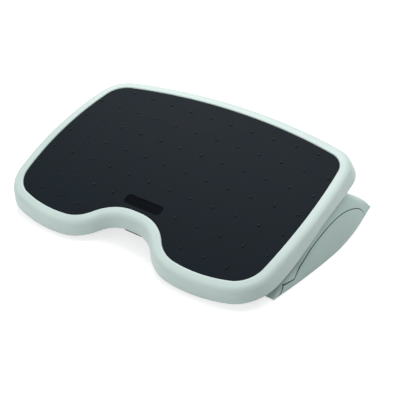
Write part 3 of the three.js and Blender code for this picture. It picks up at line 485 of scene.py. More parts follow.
def outline_arcs():
    """The right half's (centre, radius, start, end, 1), with -1 last for the hollow notch."""
    rear = Vector((0, REAR_Y - REAR_RADIUS))
    side = Vector((SIDE_X - SIDE_RADIUS, SIDE_Y))
    lobe = Vector((LOBE_X, LOBE_Y + LOBE_RADIUS))
    notch = Vector((NOTCH_X, NOTCH_Y - NOTCH_RADIUS))
    rear_corner = fitted(rear, REAR_RADIUS, side, SIDE_RADIUS, REAR_CORNER_RADIUS, -1)
    front_corner = fitted(side, SIDE_RADIUS, lobe, LOBE_RADIUS, FRONT_CORNER_RADIUS, -1)
    to_shoulder = SHOULDER_RADIUS + NOTCH_RADIUS
    shoulder = crossing(lobe, LOBE_RADIUS - SHOULDER_RADIUS, notch, to_shoulder, 1)
    centres = [rear, rear_corner, side, front_corner, lobe, shoulder]
    radii = [REAR_RADIUS, REAR_CORNER_RADIUS, SIDE_RADIUS]
    radii += [FRONT_CORNER_RADIUS, LOBE_RADIUS, SHOULDER_RADIUS]
    turns = [math.pi / 2, angle_from(rear, rear_corner), angle_from(side, rear_corner)]
    turns += [angle_from(side, front_corner), angle_from(lobe, front_corner)]
    turns += [angle_from(lobe, shoulder), angle_from(shoulder, notch)]
    arcs = [(*each, 1) for each in zip(centres, radii, turns, turns[1:])]
    return [*arcs, (notch, NOTCH_RADIUS, turns[-1] + math.pi, math.pi / 2, -1)]


ARCS = outline_arcs()


def outline(grown):
    half = []
    for (centre, radius, start, end, outward), steps in zip(ARCS, ARC_STEPS):
        points = arc(centre.x, centre.y, radius + outward * grown, start, end, steps)
        half += points[bool(half) :]
    return half + [(-x, y) for x, y in half[-1:0:-1]]


print("outline points:", len(outline(0)))

# %% [markdown]
# ## The platform's shell
#
# One loft makes the whole moulding: from the deck that carries the mat, up the recess wall,
# over a soft lip, across the rim, round the fold, down the flared skirt and back up inside.
# Its faces are then cut into strips 9 mm wide, so that they follow the crown closely. The
# skirt's lower edge arches up along both sides, over the pods, as in the photo.

# %% Shell section
RIM_WIDTH, RIM_RISE, FOLD_RADIUS, FOLD_STEPS = 19, 1.2, 9, 9
SKIRT_DEPTH, SKIRT_FLARE, WALL = 22, 4, 3
DECK_TOP, DECK_BOTTOM, DECK_EDGE = -3.3, -6.6, 10
# Pairs of distance outwards and height: the lip from the mat's outline, and the skirt's lower
# edge from the skirt's outer foot.
LIP = [(0.3, -0.7), (0.45, -0.15), (0.9, 0.4), (1.7, 0.85), (2.8, 1.12), (4.4, RIM_RISE)]
SKIRT_EDGE = [(-0.3, 1.2), (-0.15, 0.4), (-0.6, 0), (-2.2, 0), (-WALL, 0.6)]


def shell_section():
    lean = math.atan2(SKIRT_FLARE, SKIRT_DEPTH - FOLD_RADIUS / 2)
    fold_out, fold_up = RIM_WIDTH - FOLD_RADIUS, RIM_RISE - FOLD_RADIUS
    foot = RIM_WIDTH + SKIRT_FLARE
    return [
        (LIP[0][0], DECK_TOP),
        *LIP,
        *arc(fold_out, fold_up, FOLD_RADIUS, math.pi / 2, lean, FOLD_STEPS),
        *[(foot + out, up - SKIRT_DEPTH) for out, up in SKIRT_EDGE],
        (RIM_WIDTH - WALL, DECK_BOTTOM - WALL),
        (RIM_WIDTH - WALL * 2, DECK_BOTTOM),
        (DECK_EDGE, DECK_BOTTOM),
    ]


print("points of the section:", len(shell_section()))

# %% [markdown]
# ## Ribs, bosses and the finished shell
#
# Underneath, ribs stiffen the deck and four bosses take the hinge brackets' screws. They reach
# up into the deck and are joined to it by a boolean before the whole is cut into strips.

# %% Platform shell
ARCH_RISE, ARCH_FRONT, ARCH_REAR, ARCHED_BELOW = 10, -95, 130, 2
RIB_HALF, RIB_BOTTOM, RIB_TOP = 1.2, -15.6, -5
RIB_FRONT, RIB_REAR, RIB_SIDE = -86, 138, 166
RIBS_ALONG, RIBS_ACROSS = range(-150, 151, 60), range(-62, 110, 57)
BOSS_RADIUS, BOSS_BOTTOM = 5.5, -12.4
BRACKET_SCREW_X, BRACKET_SCREW_Y = 179.6, 20


def arch_at(y):
    along = (y - ARCH_FRONT) / (ARCH_REAR - ARCH_FRONT)
    return ARCH_RISE * math.sin(along * math.pi) ** 2 if 0 < along < 1 else 0


def shell_loops():
    loops = []
    for grown, height in shell_section():
        arched = height < ARCHED_BELOW - SKIRT_DEPTH
        loops.append([(x, y, height + (arch_at(y) if arched else 0)) for x, y in outline(grown)])
    return loops


def sliced(obj, step, reach):
    """Cuts every face along lines of equal y, so that the crown bends all of them."""
    work = bmesh.new()
    work.from_mesh(obj.data)
    for count in range(-int(reach / step), int(reach / step) + 1):
        everything = [*work.verts, *work.edges, *work.faces]
        plane = {"plane_co": (0, count * step, 0), "plane_no": (0, 1, 0)}
        bmesh.ops.bisect_plane(work, geom=everything, dist=1e-4, **plane)
    work.to_mesh(obj.data)
    work.free()


shell = loft("platform_moulding", shell_loops())
ribs = [
    block("rib", (x - RIB_HALF, RIB_FRONT, RIB_BOTTOM), (x + RIB_HALF, RIB_REAR, RIB_TOP))
    for x in RIBS_ALONG
]
ribs += [
    block("rib", (-RIB_SIDE, y - RIB_HALF, RIB_BOTTOM), (RIB_SIDE, y + RIB_HALF, RIB_TOP))
    for y in RIBS_ACROSS
]
for side in (1, -1):
    for end in (1, -1):
        boss = circle(side * BRACKET_SCREW_X, end * BRACKET_SCREW_Y, BOSS_RADIUS, sides=24)
        ribs.append(prism("boss", boss, BOSS_BOTTOM, RIB_TOP))
combine(shell, ribs, "UNION")
sliced(shell, step=9, reach=180)
finish_piece(shell, on_platform, "platform", ["platform_shell"], PALE_ABS)

# %% [markdown]
# ## The mat
#
# The mat is drawn like the shell, with a rounded top edge, and drops into the recess with a
# hairline of clearance. Near the heel notch a shallow rounded patch is left bare.

# %% Mat
MAT_SECTION = [
    (-2.2, 0), (-1.3, 0), (-0.75, -0.1), (-0.3, -0.35), (-0.06, -0.75), (0, -1.2), (0, -3),
]
PATCH_Y, PATCH_WIDTH, PATCH_LENGTH, PATCH_CORNER = -83, 72, 18, 6
PATCH_FLOOR, ABOVE_MAT = -0.7, 3

mat = stacked("mat", [(outline(grown), z) for grown, z in MAT_SECTION])
patch_outline = rounded_outline(PATCH_Y, PATCH_WIDTH, PATCH_LENGTH, PATCH_CORNER)
combine(mat, [prism("patch", patch_outline, PATCH_FLOOR, ABOVE_MAT)], "DIFFERENCE")
sliced(mat, step=6, reach=174)
print("mat:", len(mat.data.polygons), "faces before its bumps")

# %% [markdown]
# ## Trees of geometry nodes
#
# What repeats is set out by Geometry Nodes. Each tree starts from named inputs and ends alike:
# a copy is set on each point, Realize Instances makes real faces of the copies, and Set Material
# gives them their finish. The tree then runs once, and its result is kept as a plain mesh.

# %% Tree helpers
def node_tree(name, inputs):
    tree = bpy.data.node_groups.new(name, "GeometryNodeTree")
    tree.interface.new_socket("Geometry", in_out="INPUT", socket_type="NodeSocketGeometry")
    for label, kind in inputs:
        tree.interface.new_socket(label, in_out="INPUT", socket_type=kind)
    tree.interface.new_socket("Geometry", in_out="OUTPUT", socket_type="NodeSocketGeometry")
    return tree, add_node(tree, "NodeGroupInput", {}).outputs


def end_tree(tree, links, material):
    placed = add_node(tree, "GeometryNodeInstanceOnPoints", {}, links)
    real = add_node(tree, "GeometryNodeRealizeInstances", {}, {0: placed.outputs[0]})
    painted = add_node(
        tree, "GeometryNodeSetMaterial", {"Material": material}, {"Geometry": real.outputs[0]}
    )
    add_node(tree, "NodeGroupOutput", {}, {0: painted.outputs[0]})


def grown_by(obj, tree, values):
    """Runs the tree on the object and keeps the result as its plain mesh."""
    modifier = obj.modifiers.new(tree.name, "NODES")
    modifier.node_group = tree
    for item in tree.interface.items_tree:
        if item.in_out == "INPUT" and item.name in values:
            modifier[item.identifier] = values[item.name]
    return run_modifiers(obj)


# %% [markdown]
# ## Bumps on the mat
#
# Small rubber bumps stand in rows on the mat. They all have one shape and follow one grid, so
# Geometry Nodes set them out: a point for each place in the grid, and a flattened ball on each
# point. The rows near the curved edges hold fewer bumps, which is written as the first and last
# bump of each row, counted from the middle.

# %% Bumps
BUMP_PITCH, BUMP_RADIUS, BUMP_HEIGHT, BUMP_SINK = 41.8, 2.6, 1.6, 0.1
BUMP_ROWS = [(1, 5), (1, 6), (1, 6), (1, 6), (1, 6), (2, 6), (3, 5)]
MIDDLE_ROW = 3
TIP_HEIGHT = 0.3
PATCH_MARGIN = 0.1


def bump_tree():
    sizes = [("Bump radius", "NodeSocketFloat"), ("Bump height", "NodeSocketFloat")]
    tree, given = node_tree("mat_bumps", sizes)
    ball = add_node(tree, "GeometryNodeMeshUVSphere", {"Segments": 16, "Rings": 10, "Radius": 1})
    radius, height = given["Bump radius"], given["Bump height"]
    scale = add_node(tree, "ShaderNodeCombineXYZ", {}, {"X": radius, "Y": radius, "Z": height})
    links = {"Points": given["Geometry"], "Instance": ball.outputs["Mesh"]}
    end_tree(tree, {**links, "Scale": scale.outputs[0]}, MAT_RUBBER)
    return tree


bump_places = [
    (side * (column - 0.5) * BUMP_PITCH, (MIDDLE_ROW - row) * BUMP_PITCH, -BUMP_SINK)
    for row, (first, last) in enumerate(BUMP_ROWS)
    for column in range(first, last + 1)
    for side in (1, -1)
]
bump_sizes = {"Bump radius": BUMP_RADIUS, "Bump height": BUMP_HEIGHT}
bumps = grown_by(solid("bumps", bump_places, []), bump_tree(), bump_sizes)
combine(mat, [bumps], "UNION")
tips = [face.index for face in mat.data.polygons if face.center.z > TIP_HEIGHT]
# The walls and the floor of the patch lie between 1 and 0.05 mm below the mat's top.
sunk = [
    face.index
    for face in mat.data.polygons
    if abs(face.center.x) < PATCH_WIDTH / 2 + PATCH_MARGIN
    and abs(face.center.y - PATCH_Y) < PATCH_LENGTH / 2 + PATCH_MARGIN
    and -1 < face.center.z < -0.05
]
finish_piece(mat, on_platform, "platform", ["rubber_mat"], MAT_RUBBER)
paint_faces(mat, PATCH_RUBBER, sunk)
# The faces high on the bumps get the tip rubber with its painted shade.
paint_faces(mat, WORN_AND_SHADED_BUMP_RUBBER, tips)
print("bumps:", len(bump_places), "faces on their tips:", len(tips), "on the patch:", len(sunk))

# %% [markdown]
# ## The pods' lines
#
# Each pod is a hollow shell that swells from a low nose to a high shoulder and tucks up at
# the rear. Its side view is given by a top line and a bottom line, its plan by one long arc,
# and its cross section by one rounded profile that is stretched between them. A parting line
# bounds its side panel. All are short lists of shares of the pod's length, height or width,
# smoothed by a spline through their points.

# %% Pod lines
POD_LENGTH, POD_NOSE_Y, POD_HEIGHT, POD_WIDTH, POD_HALF_SPAN = 270, -95.02, 77, 55, 260
POD_PLAN_RADIUS, POD_WIDEST_Y, POD_FLOOR_GAP = 1280, 50, 1.5
SHOULDER = 0.678
TOP_SHARE = [
    (0, 0.05), (0.078, 0.17), (0.2, 0.3), (0.281, 0.5), (0.393, 0.72),
    (0.533, 0.9), (SHOULDER, 1), (0.789, 0.925), (0.881, 0.76), (0.963, 0.575), (1, 0.42),
]
BOTTOM_SHARE = [
    (0, 0), (0.56, 0), (0.68, 0.03), (0.78, 0.085), (0.874, 0.165), (0.96, 0.27), (1, 0.34),
]
PARTING_SHARE = [
    (0.03, 0), (0.092, 0.14), (0.173, 0.145), (0.215, 0.243), (0.256, 0.34), (0.341, 0.51),
    (0.423, 0.628), (0.524, 0.73), (0.61, 0.775), (0.68, 0.77), (0.745, 0.72), (0.8, 0.65),
    (0.845, 0.57), (0.885, 0.455), (0.91, 0.34),
]
SECTION_SHARE = [
    (0.035, 0), (0, 0.22), (0.012, 0.46), (0.06, 0.7), (0.14, 0.86), (0.27, 0.96), (0.45, 1),
    (0.88, 1), (1, 0.9),
]


def spline(before, here, there, beyond, t):
    """A value between here and there, on a curve that runs smoothly through all its points."""
    slope = there - before
    bend = 2 * before - 5 * here + 4 * there - beyond
    twist = 3 * here - before - 3 * there + beyond
    return 0.5 * (2 * here + slope * t + bend * t**2 + twist * t**3)


def smoothed(points, steps=8):
    padded = [points[0], *points, points[-1]]
    line = []
    for window in zip(padded, padded[1:], padded[2:], padded[3:]):
        for step in range(steps):
            line.append(tuple(spline(*values, step / steps) for values in zip(*window)))
    return [*line, points[-1]]


def share_at(line, along):
    after = next((i for i, point in enumerate(line) if point[0] >= along), len(line) - 1)
    (x0, y0), (x1, y1) = line[max(after - 1, 0)], line[max(after, 1)]
    return y0 + (y1 - y0) * (along - x0) / (x1 - x0)


TOP_LINE, BOTTOM_LINE = smoothed(TOP_SHARE), smoothed(BOTTOM_SHARE)
PARTING_LINE = [*PARTING_SHARE[:2], *smoothed(PARTING_SHARE[2:])]
SECTION_LINE = [*smoothed(SECTION_SHARE, 4), (1, 0)]
print("points of the parting line:", len(PARTING_LINE))

# %% [markdown]
# ## The pods' forms
#
# A pod's form is a loft of sections from nose to rear. The same form drawn some millimetres
# smaller cuts its hollow. A boolean gives each cut face the material slot of the form that cut
# it, so the forms carry one of two finishes: plain, or a dark painted shade where they cut the
# groove. What cuts reaches 6 mm beyond what it cuts.

# %% Pod forms
BEYOND = 6
PARTING_TAIL = 3
# Slot 1 holds the groove's painted shade.
PLAIN, GROOVE_SHADE = 0, 1


def pod_outer_x(y):
    return POD_HALF_SPAN + math.sqrt(POD_PLAN_RADIUS**2 - (y - POD_WIDEST_Y) ** 2) - POD_PLAN_RADIUS


def pod_section(along, inset):
    """A section at a share of the length. An inset one reaches lower, to cut an open bottom."""
    y = POD_NOSE_Y + POD_LENGTH * along
    bottom = POD_FLOOR_GAP + POD_HEIGHT * share_at(BOTTOM_LINE, along)
    top = POD_FLOOR_GAP + POD_HEIGHT * share_at(TOP_LINE, along) - inset
    width = pod_outer_x(y) - POD_HALF_SPAN + POD_WIDTH - inset * 2
    loop = []
    for corner, (inward, up) in enumerate(SECTION_LINE):
        if corner in (0, len(SECTION_LINE) - 1):
            height = bottom - (BEYOND + inset if inset else 0)
        else:
            height = bottom + (top - bottom) * up
        loop.append((pod_outer_x(y) - inset - width * inward, y, height))
    return loop


def coated(obj, coat):
    """Gives all faces of a pod's form one of the pod's two finishes."""
    obj.data.materials.clear()
    obj.data.materials.append(POD_ABS_AND_PANEL_SHADE)
    obj.data.materials.append(GROOVE_SHADE_ABS)
    for face in obj.data.polygons:
        face.material_index = coat
    return obj


def pod_solid(name, inset, start, end, stations):
    shares = [start + (end - start) * step / stations for step in range(stations + 1)]
    return coated(loft(name, [pod_section(along, inset) for along in shares]), PLAIN)


def below_parting(from_x, shift):
    """All that lies outwards of from_x and below the parting line, once it is shifted up."""
    line = [
        (POD_NOSE_Y + POD_LENGTH * along, POD_FLOOR_GAP + POD_HEIGHT * up + shift)
        for along, up in PARTING_LINE
    ]
    front, rear = line[0][0] - shift, line[-1][0] + PARTING_TAIL + shift
    side = [(front, -BEYOND), (front, line[0][1]), *line, (rear, -BEYOND)]
    return coated(drawn_out("below_parting", side, from_x, POD_HALF_SPAN + BEYOND), GROOVE_SHADE)


print("pod's outer foot at the shoulder:", [round(v, 1) for v in pod_section(SHOULDER, 0)[0]])

# %% [markdown]
# ## Pod shells and side panels
#
# The real pod is two mouldings: an inner shell, and a flat leaf-shaped side panel that clips
# over it and leaves a fine groove along its upper edge. Both come from one hollow form. The
# panel is what lies outside and below the parting line, and the shell is the rest, cut back
# by the width of the groove. A lip of the shell runs on behind the panel, so that the groove is
# a dark line and not a slit to see through. A floor opening, a way through for the column, a
# slot for the lock bar and room for the guide's ledge are cut from the shell.

# %% Pod skins and the groove's lip
NOSE_SOLID, STATIONS, HOLLOW_STATIONS = 19, 72, 60
LIP_OVERLAP, LIP_DEPTH, LIP_START, LIP_X = 0.2, 1.3, 0.08, 238
LIP_RISE, LIP_DROP, LIP_BOTTOM = 4, 3, 7


def pod_skin(name, outside, inside, start):
    """The pod's form between two depths under its surface, open below and solid at the nose."""
    first, last = NOSE_SOLID / POD_LENGTH, 1 - inside / POD_LENGTH
    hollow = pod_solid("hollow", inside, first, last, HOLLOW_STATIONS)
    whole = pod_solid(name, outside, start, 1 - outside / POD_LENGTH, STATIONS)
    return combine(whole, [hollow], "DIFFERENCE")


def groove_lip():
    lip = pod_skin("lip", WALL - LIP_OVERLAP, WALL + LIP_DEPTH, LIP_START)
    form = pod_solid("form", 0, 0, 1, STATIONS)
    combine(lip, [below_parting(LIP_X, LIP_RISE), form], "INTERSECT")
    # The block is wider than the pod, and takes off all that is lower than the lip's bottom.
    low_end = block("low", (150, -150, -20), (300, 250, LIP_BOTTOM))
    return combine(lip, [below_parting(LIP_X - 1, -LIP_DROP), low_end], "DIFFERENCE")


# %% Pods
GROOVE_WIDTH, PANEL_X, SHELL_X = 1.3, 240, 239.2
FLOOR_FRONT, FLOOR_REAR, FLOOR_INSET, FLOOR_TOP, FLOOR_GAP = -70.02, 100, 6, 6.6, 0.3
COLUMN_WAY = [(205.8, -26.2, 6.3), (236.2, 26.2, 83)]
BAR_SLOT = [(199, -38.8, -BEYOND), (211, -29.2, 19.8)]
GUIDE_LEDGE = [(193.8, -10.8, -BEYOND), (221, 10.8, 13.3)]


def floor_outline(grown):
    """The floor plate's outline, whose sides follow the plan of the pods."""
    side = [(pod_outer_x(y) - FLOOR_INSET + grown, y) for y in range(-70, 101, 10)]
    side[0] = (side[0][0], FLOOR_FRONT - grown)
    side[-1] = (side[-1][0], FLOOR_REAR + grown)
    return side + [(-x, y) for x, y in reversed(side)]


pod_cuts = [
    below_parting(SHELL_X, GROOVE_WIDTH),
    block("tower", *COLUMN_WAY),
    block("slot", *BAR_SLOT),
    block("ledge", *GUIDE_LEDGE),
    prism("floor", floor_outline(FLOOR_GAP), -BEYOND, FLOOR_TOP),
]
panel = pod_skin("panel", 0, WALL - 2 * LIP_OVERLAP, 0)
combine(panel, [below_parting(PANEL_X, 0)], "INTERSECT")
pod = combine(pod_skin("pod", 0, WALL, 0), pod_cuts, "DIFFERENCE")
# The whole lip carries the groove's painted shade.
combine(pod, [coated(groove_lip(), GROOVE_SHADE)], "UNION")
# The side panel is the platform's pale plastic; it gets the pods' darker tone as painted shade.
for moulding, node in ((panel, "side_panel"), (pod, "pod_shell")):
    # These faces lie in the groove and get its painted shade.
    groove_shade_faces = [face.index for face in moulding.data.polygons if face.material_index == GROOVE_SHADE]
    for half in finish_pair(moulding, on_base, "base", node, POD_ABS_AND_PANEL_SHADE):
        paint_faces(half, GROOVE_SHADE_ABS, groove_shade_faces)
    print(f"{node}: {len(groove_shade_faces)} faces in the groove")

# %% [markdown]
# ## Turned parts
#
# The axle, the lock bar, the bushes and the washers come off a lathe. Each is a profile of radii
# and heights swept round an axis, drawn upright and then laid along x. Every end has the small
# chamfer that a lathe hand breaks a sharp edge with: it is what catches the light on real bar.

# %% Turning
def turned(name, profile, sides=40):
    """A solid of revolution from (radius, height) pairs, lowest first."""
    return stacked(name, [(circle(0, 0, radius, sides), z) for radius, z in profile])


def rod(name, radius, start, end, chamfer=0.5):
    ends = [(radius - chamfer, start), (radius, start + chamfer)]
    return turned(name, [*ends, (radius, end - chamfer), (radius - chamfer, end)])


def tube(name, outer, inner, start, end):
    beyond = 5
    bore = rod("bore", inner, start - beyond, end + beyond)
    return combine(rod(name, outer, start, end), [bore], "DIFFERENCE")


def laid(obj, y, z):
    """Turns a part drawn upright so that its axis runs along x through the given place."""
    for vertex in obj.data.vertices:
        across, up, along = vertex.co
        vertex.co = (along, y + across, z + up)
    return obj


# %% Turned parts
AXLE_RADIUS, AXLE_END, AXLE_CHAMFER = 4, 234.8, 3.7
CLIP_GROOVE = [(AXLE_RADIUS, 232.1), (3.5, 232.2), (3.5, 234.5), (AXLE_RADIUS, 234.6)]
BAR_RADIUS, BAR_END, BAR_Y, BAR_Z = 4, 228, -34, 15
BORE_RADIUS = 4.4

axle_half = [(AXLE_RADIUS, 0), *CLIP_GROOVE, (AXLE_CHAMFER, AXLE_END)]
axle_profile = [(radius, -z) for radius, z in reversed(axle_half[1:])] + axle_half[1:]
axle = laid(turned("axle_bar", axle_profile), 0, AXLE.z)
finish_piece(axle, on_base, "carriage", ["tilt_axle"], ZINC_STEEL)
lock_bar = laid(rod("lock_bar_turned", BAR_RADIUS, -BAR_END, BAR_END, chamfer=0.8), BAR_Y, BAR_Z)
finish_piece(lock_bar, on_base, "pedal", ["lock_bar"], ZINC_STEEL)
bush = laid(tube("bush", outer=6.4, inner=BORE_RADIUS, start=190, end=206), 0, -AXLE_DEPTH)
finish_pair(bush, on_bracket, "platform", "hinge_bush", NATURAL_NYLON)
washer = laid(tube("washer", outer=9.5, inner=BORE_RADIUS, start=206.3, end=209.7), 0, -AXLE_DEPTH)
finish_pair(washer, on_bracket, "platform", "friction_washer", DARK_ACETAL)

# %% [markdown]
# ## Clips on the axle
#
# A pressed clip snaps into the groove at each end of the axle. It is open at one side, and three
# short fingers reach in to the groove. One outline does it: round the outside, and back along
# the inside at one of two radii.

# %% Axle clips
CLIP_RADIUS, CLIP_INSIDE, CLIP_REACH = 8, 5.6, 3.7
CLIP_OPENING, FINGER_MIDDLES, FINGER_HALF = 35, (60, 180, 300), 15
CLIP_START, CLIP_END = 232.3, 234.5


def clip_outline():
    """The inside is stepped round every 5 degrees, so that each finger has straight sides."""
    start, end = CLIP_OPENING, 360 - CLIP_OPENING
    outer = arc(0, 0, CLIP_RADIUS, math.radians(start), math.radians(end), steps=48)
    inner = []
    for degrees in range(end, start - 1, -5):
        finger = min(abs(degrees - middle) for middle in FINGER_MIDDLES) <= FINGER_HALF
        radius, angle = (CLIP_REACH if finger else CLIP_INSIDE), math.radians(degrees)
        inner.append((radius * math.cos(angle), radius * math.sin(angle)))
    return outer + inner


clip = laid(prism("clip", clip_outline(), CLIP_START, CLIP_END), 0, AXLE.z)
finish_pair(clip, on_base, "carriage", "axle_clip", ZINC_STEEL)

# %% [markdown]
# ## Setting out copies
#
# Sixteen like screws hold the footrest together, and it stands on four like rubber feet. Each
# kind is drawn once, and Geometry Nodes set a copy on each point. The points carry a value that
# turns a copy upside down, and each copy gets a turn of its own from a seeded random value,
# because nobody lines up the recesses of screws.

# %% Setting out copies
TURN_SEED = 7


def set_out_tree(name, material):
    tree, given = node_tree(name, [("Part", "NodeSocketObject"), ("Seed", "NodeSocketInt")])
    down = add_node(tree, "GeometryNodeInputNamedAttribute", {"data_type": "FLOAT", "Name": "down"})
    half_turn = {"operation": "MULTIPLY", 1: math.pi}
    flip = add_node(tree, "ShaderNodeMath", half_turn, {0: down.outputs[0]})
    any_turn = {"data_type": "FLOAT", 2: 0, 3: math.tau}
    spin = add_node(tree, "FunctionNodeRandomValue", any_turn, {"Seed": given["Seed"]})
    angles = {"X": flip.outputs[0], "Z": spin.outputs[1]}
    turn = add_node(tree, "ShaderNodeCombineXYZ", {}, angles)
    part = add_node(tree, "GeometryNodeObjectInfo", {}, {"Object": given["Part"]})
    links = {"Points": given["Geometry"], "Instance": part.outputs["Geometry"]}
    end_tree(tree, {**links, "Rotation": turn.outputs[0]}, material)
    return tree


def set_out(name, spots, part, material):
    """Copies of the part at (x, y, z, down) spots, as one mesh."""
    points = solid(name, [spot[:3] for spot in spots], [])
    attribute = points.data.attributes.new("down", "FLOAT", "POINT")
    attribute.data.foreach_set("value", [float(spot[3]) for spot in spots])
    tree = set_out_tree(f"set_out_{name}", material)
    return grown_by(points, tree, {"Part": part, "Seed": TURN_SEED})


# %% [markdown]
# ## Screws
#
# The screw is turned like the axle, from a profile with a tapered tip, a thread of eight crests
# and a domed head, and a cross is cut into the head. It is zinc plated, as the axle is. The CAD
# has a node for each screw, and the copies on one body become one piece.

# %% Screws
SCREW_TIP = [(0.6, -6.4), (1.4, -5.9)]
SCREW_THREAD = [
    (radius, tenths / 10)
    for root in range(-56, -5, 7)
    for radius, tenths in ((1.65, root), (2, root + 3.5))
]
SCREW_NECK = [(2, 0), (2, 0.3)]
SCREW_HEAD = [(3.6, 0.3), (3.8, 0.5), (3.8, 1.3), (3.5, 1.9), (2.8, 2.3), (1.6, 2.5)]
ARM_LENGTH, ARM_WIDTH, ARM_LOW, ARM_HIGH = 1.9, 0.4, 1.2, 3
# Each row is a node, x, y, z under the head, and 1 where the head points down.
BASE_SCREWS = [
    ("guide_screw_inner", 200.6, 0, 10.3, 0),
    ("guide_screw_outer", 241.4, 0, 10.3, 0),
    ("bearing_screw_front", 150, -50.5, 10.3, 0),
    ("bearing_screw_rear", 150, -17.5, 10.3, 0),
    ("pod_screw_front", 234, -56.02, 3.3, 1),
    ("pod_screw_rear", 234, 60, 3.3, 1),
]
PLATFORM_SCREWS = [
    ("bracket_screw_front", BRACKET_SCREW_X, -BRACKET_SCREW_Y, -16.09, 1),
    ("bracket_screw_rear", BRACKET_SCREW_X, BRACKET_SCREW_Y, -16.09, 1),
]


def one_screw():
    profile = [*SCREW_TIP, *SCREW_THREAD, *SCREW_NECK, *SCREW_HEAD]
    screw = turned("screw", profile, sides=24)
    arms = [
        block("arm", (-along, -across, ARM_LOW), (along, across, ARM_HIGH))
        for along, across in ((ARM_LENGTH, ARM_WIDTH), (ARM_WIDTH, ARM_LENGTH))
    ]
    return combine(screw, arms, "DIFFERENCE")


screw = one_screw()
for name, screws, carry, body in (
    ("base_screws", BASE_SCREWS, on_base, "base"),
    ("platform_screws", PLATFORM_SCREWS, on_bracket, "platform"),
):
    spots = [(side * x, y, z, down) for _, x, y, z, down in screws for side in (1, -1)]
    nodes = both_sides([node for node, *_ in screws])
    copies = set_out(name, spots, screw, ZINC_STEEL)
    finish_piece(copies, carry, body, nodes, ZINC_STEEL)
bpy.data.objects.remove(screw)

# %% [markdown]
# ## Rubber feet
#
# A foot is a thick rubber button with ring grooves underneath that help it grip, and a stem that
# is pressed into the floor plate. It is one more turned profile, set out like the screws.

# %% Rubber feet
INNER_RING = [(2.6, 0), (2.8, 0.5), (4.2, 0.5), (4.4, 0)]
OUTER_RING = [(5.8, 0), (6, 0.5), (7.4, 0.5), (7.6, 0)]
FOOT_SIDE = [(9.3, 0), (9.8, 0.3), (10, 0.8), (10, 2.3), (9.7, 2.8), (9.2, 3)]
FOOT_STEM = [(4, 3), (4, 5.8), (3.5, 6.3)]
FOOT_X = 217
FOOT_PLACES = [("rubber_foot_front", -56.02), ("rubber_foot_rear", 82)]

foot = turned("foot", [*INNER_RING, *OUTER_RING, *FOOT_SIDE, *FOOT_STEM])
foot_spots = [(side * FOOT_X, y, 0, 0) for _, y in FOOT_PLACES for side in (1, -1)]
feet = set_out("feet", foot_spots, foot, BLACK_RUBBER)
bpy.data.objects.remove(foot)
foot_nodes = both_sides([node for node, _ in FOOT_PLACES])
finish_piece(feet, on_base, "base", foot_nodes, BLACK_RUBBER)

# %% [markdown]
# ## The pedal
#
# The foot pedal is a moulded plate on two arms, with a hub that grips the lock bar. Its edges are
# rounded by drawing the same rounded outline several times, smaller towards the top and bottom.
# A ribbed rubber tread lies on it, so that a shoe doesn't slip off. The ribs are one wave along
# the tread's side view, which is cut to the tread's rounded plan.

# %% Pedal and tread
PEDAL_Y = -83.5
PEDAL_EDGE = [(0, 0.9), (0.25, 0.3), (0.8, 0)]
ARM_SIDE = [
    (BAR_Y, 11.2), (BAR_Y, 22.6), (-70.5, 19.7), (PEDAL_Y, 16.3), (PEDAL_Y, 14), (-64.5, 12),
]
ARM_INNER, ARM_OUTER, HUB_RADIUS, HUB_BORE, BORE_REACH = 15, 22, 7.6, 4.3, 30
TREAD_REAR, TREAD_LENGTH, TREAD_WIDTH, TREAD_CORNER, TREAD_BOTTOM = -67.5, 32, 56, 6, 20.3
BELOW_TREAD, ABOVE_TREAD = 15, 30
RIB_FOOT, RIB_SWING, TREAD_STEPS, STEPS_A_RIB = 22.7, 0.5, 60, 12


def soft_plate(name, y, width, length, corner, low, high):
    levels = [(low + up, inset) for up, inset in PEDAL_EDGE]
    levels += [(high - down, inset) for down, inset in reversed(PEDAL_EDGE)]
    return stacked(name, [
        (rounded_outline(y, width - 2 * inset, length - 2 * inset, corner - inset), z)
        for z, inset in levels
    ])


def ribbed_tread():
    side = [(TREAD_REAR - TREAD_LENGTH, TREAD_BOTTOM), (TREAD_REAR, TREAD_BOTTOM)]
    for step in range(TREAD_STEPS + 1):
        y = TREAD_REAR - TREAD_LENGTH * step / TREAD_STEPS
        z = RIB_FOOT + RIB_SWING - RIB_SWING * math.cos(math.tau * step / STEPS_A_RIB)
        side.append((y, z))
    half = TREAD_WIDTH / 2
    sheet = drawn_out("tread_ribbed", side, -half, half)
    plan = rounded_outline(PEDAL_Y, TREAD_WIDTH, TREAD_LENGTH, TREAD_CORNER)
    return combine(sheet, [prism("plan", plan, BELOW_TREAD, ABOVE_TREAD)], "INTERSECT")


pedal = soft_plate("pedal_moulding", PEDAL_Y, width=62, length=38, corner=9, low=16, high=20)
hub = laid(rod("hub", HUB_RADIUS, -ARM_OUTER, ARM_OUTER, chamfer=1), BAR_Y, BAR_Z)
arms = [
    drawn_out("arm", ARM_SIDE, start, end)
    for start, end in ((ARM_INNER, ARM_OUTER), (-ARM_OUTER, -ARM_INNER))
]
combine(pedal, [*arms, hub], "UNION")
bore = laid(rod("bore", HUB_BORE, -BORE_REACH, BORE_REACH), BAR_Y, BAR_Z)
combine(pedal, [bore], "DIFFERENCE")
finish_piece(pedal, on_base, "pedal", ["foot_pedal"], DARK_ACETAL)
finish_piece(ribbed_tread(), on_base, "pedal", ["pedal_tread"], BLACK_RUBBER)

# %% [markdown]
# ## The pedal's spring
#
# The coil spring is one wire: a leg from under the pedal, six curls round the lock bar and a leg
# back along the floor plate. A circle is carried along its middle line, turned at each step so
# that it stays square to the wire. The rear leg stays on the base while the front leg goes down
# with the pedal.

# %% Spring
COIL_RADIUS, COIL_PITCH, COIL_TURNS, COIL_STEPS = 7.5, 2.7, 6, 24
WIRE_RADIUS, SPRING_X = 0.9, 23.8
REAR_LEG = Vector((0, 12, 0))
FRONT_TIP = Vector((SPRING_X, -69.5, 14.8))


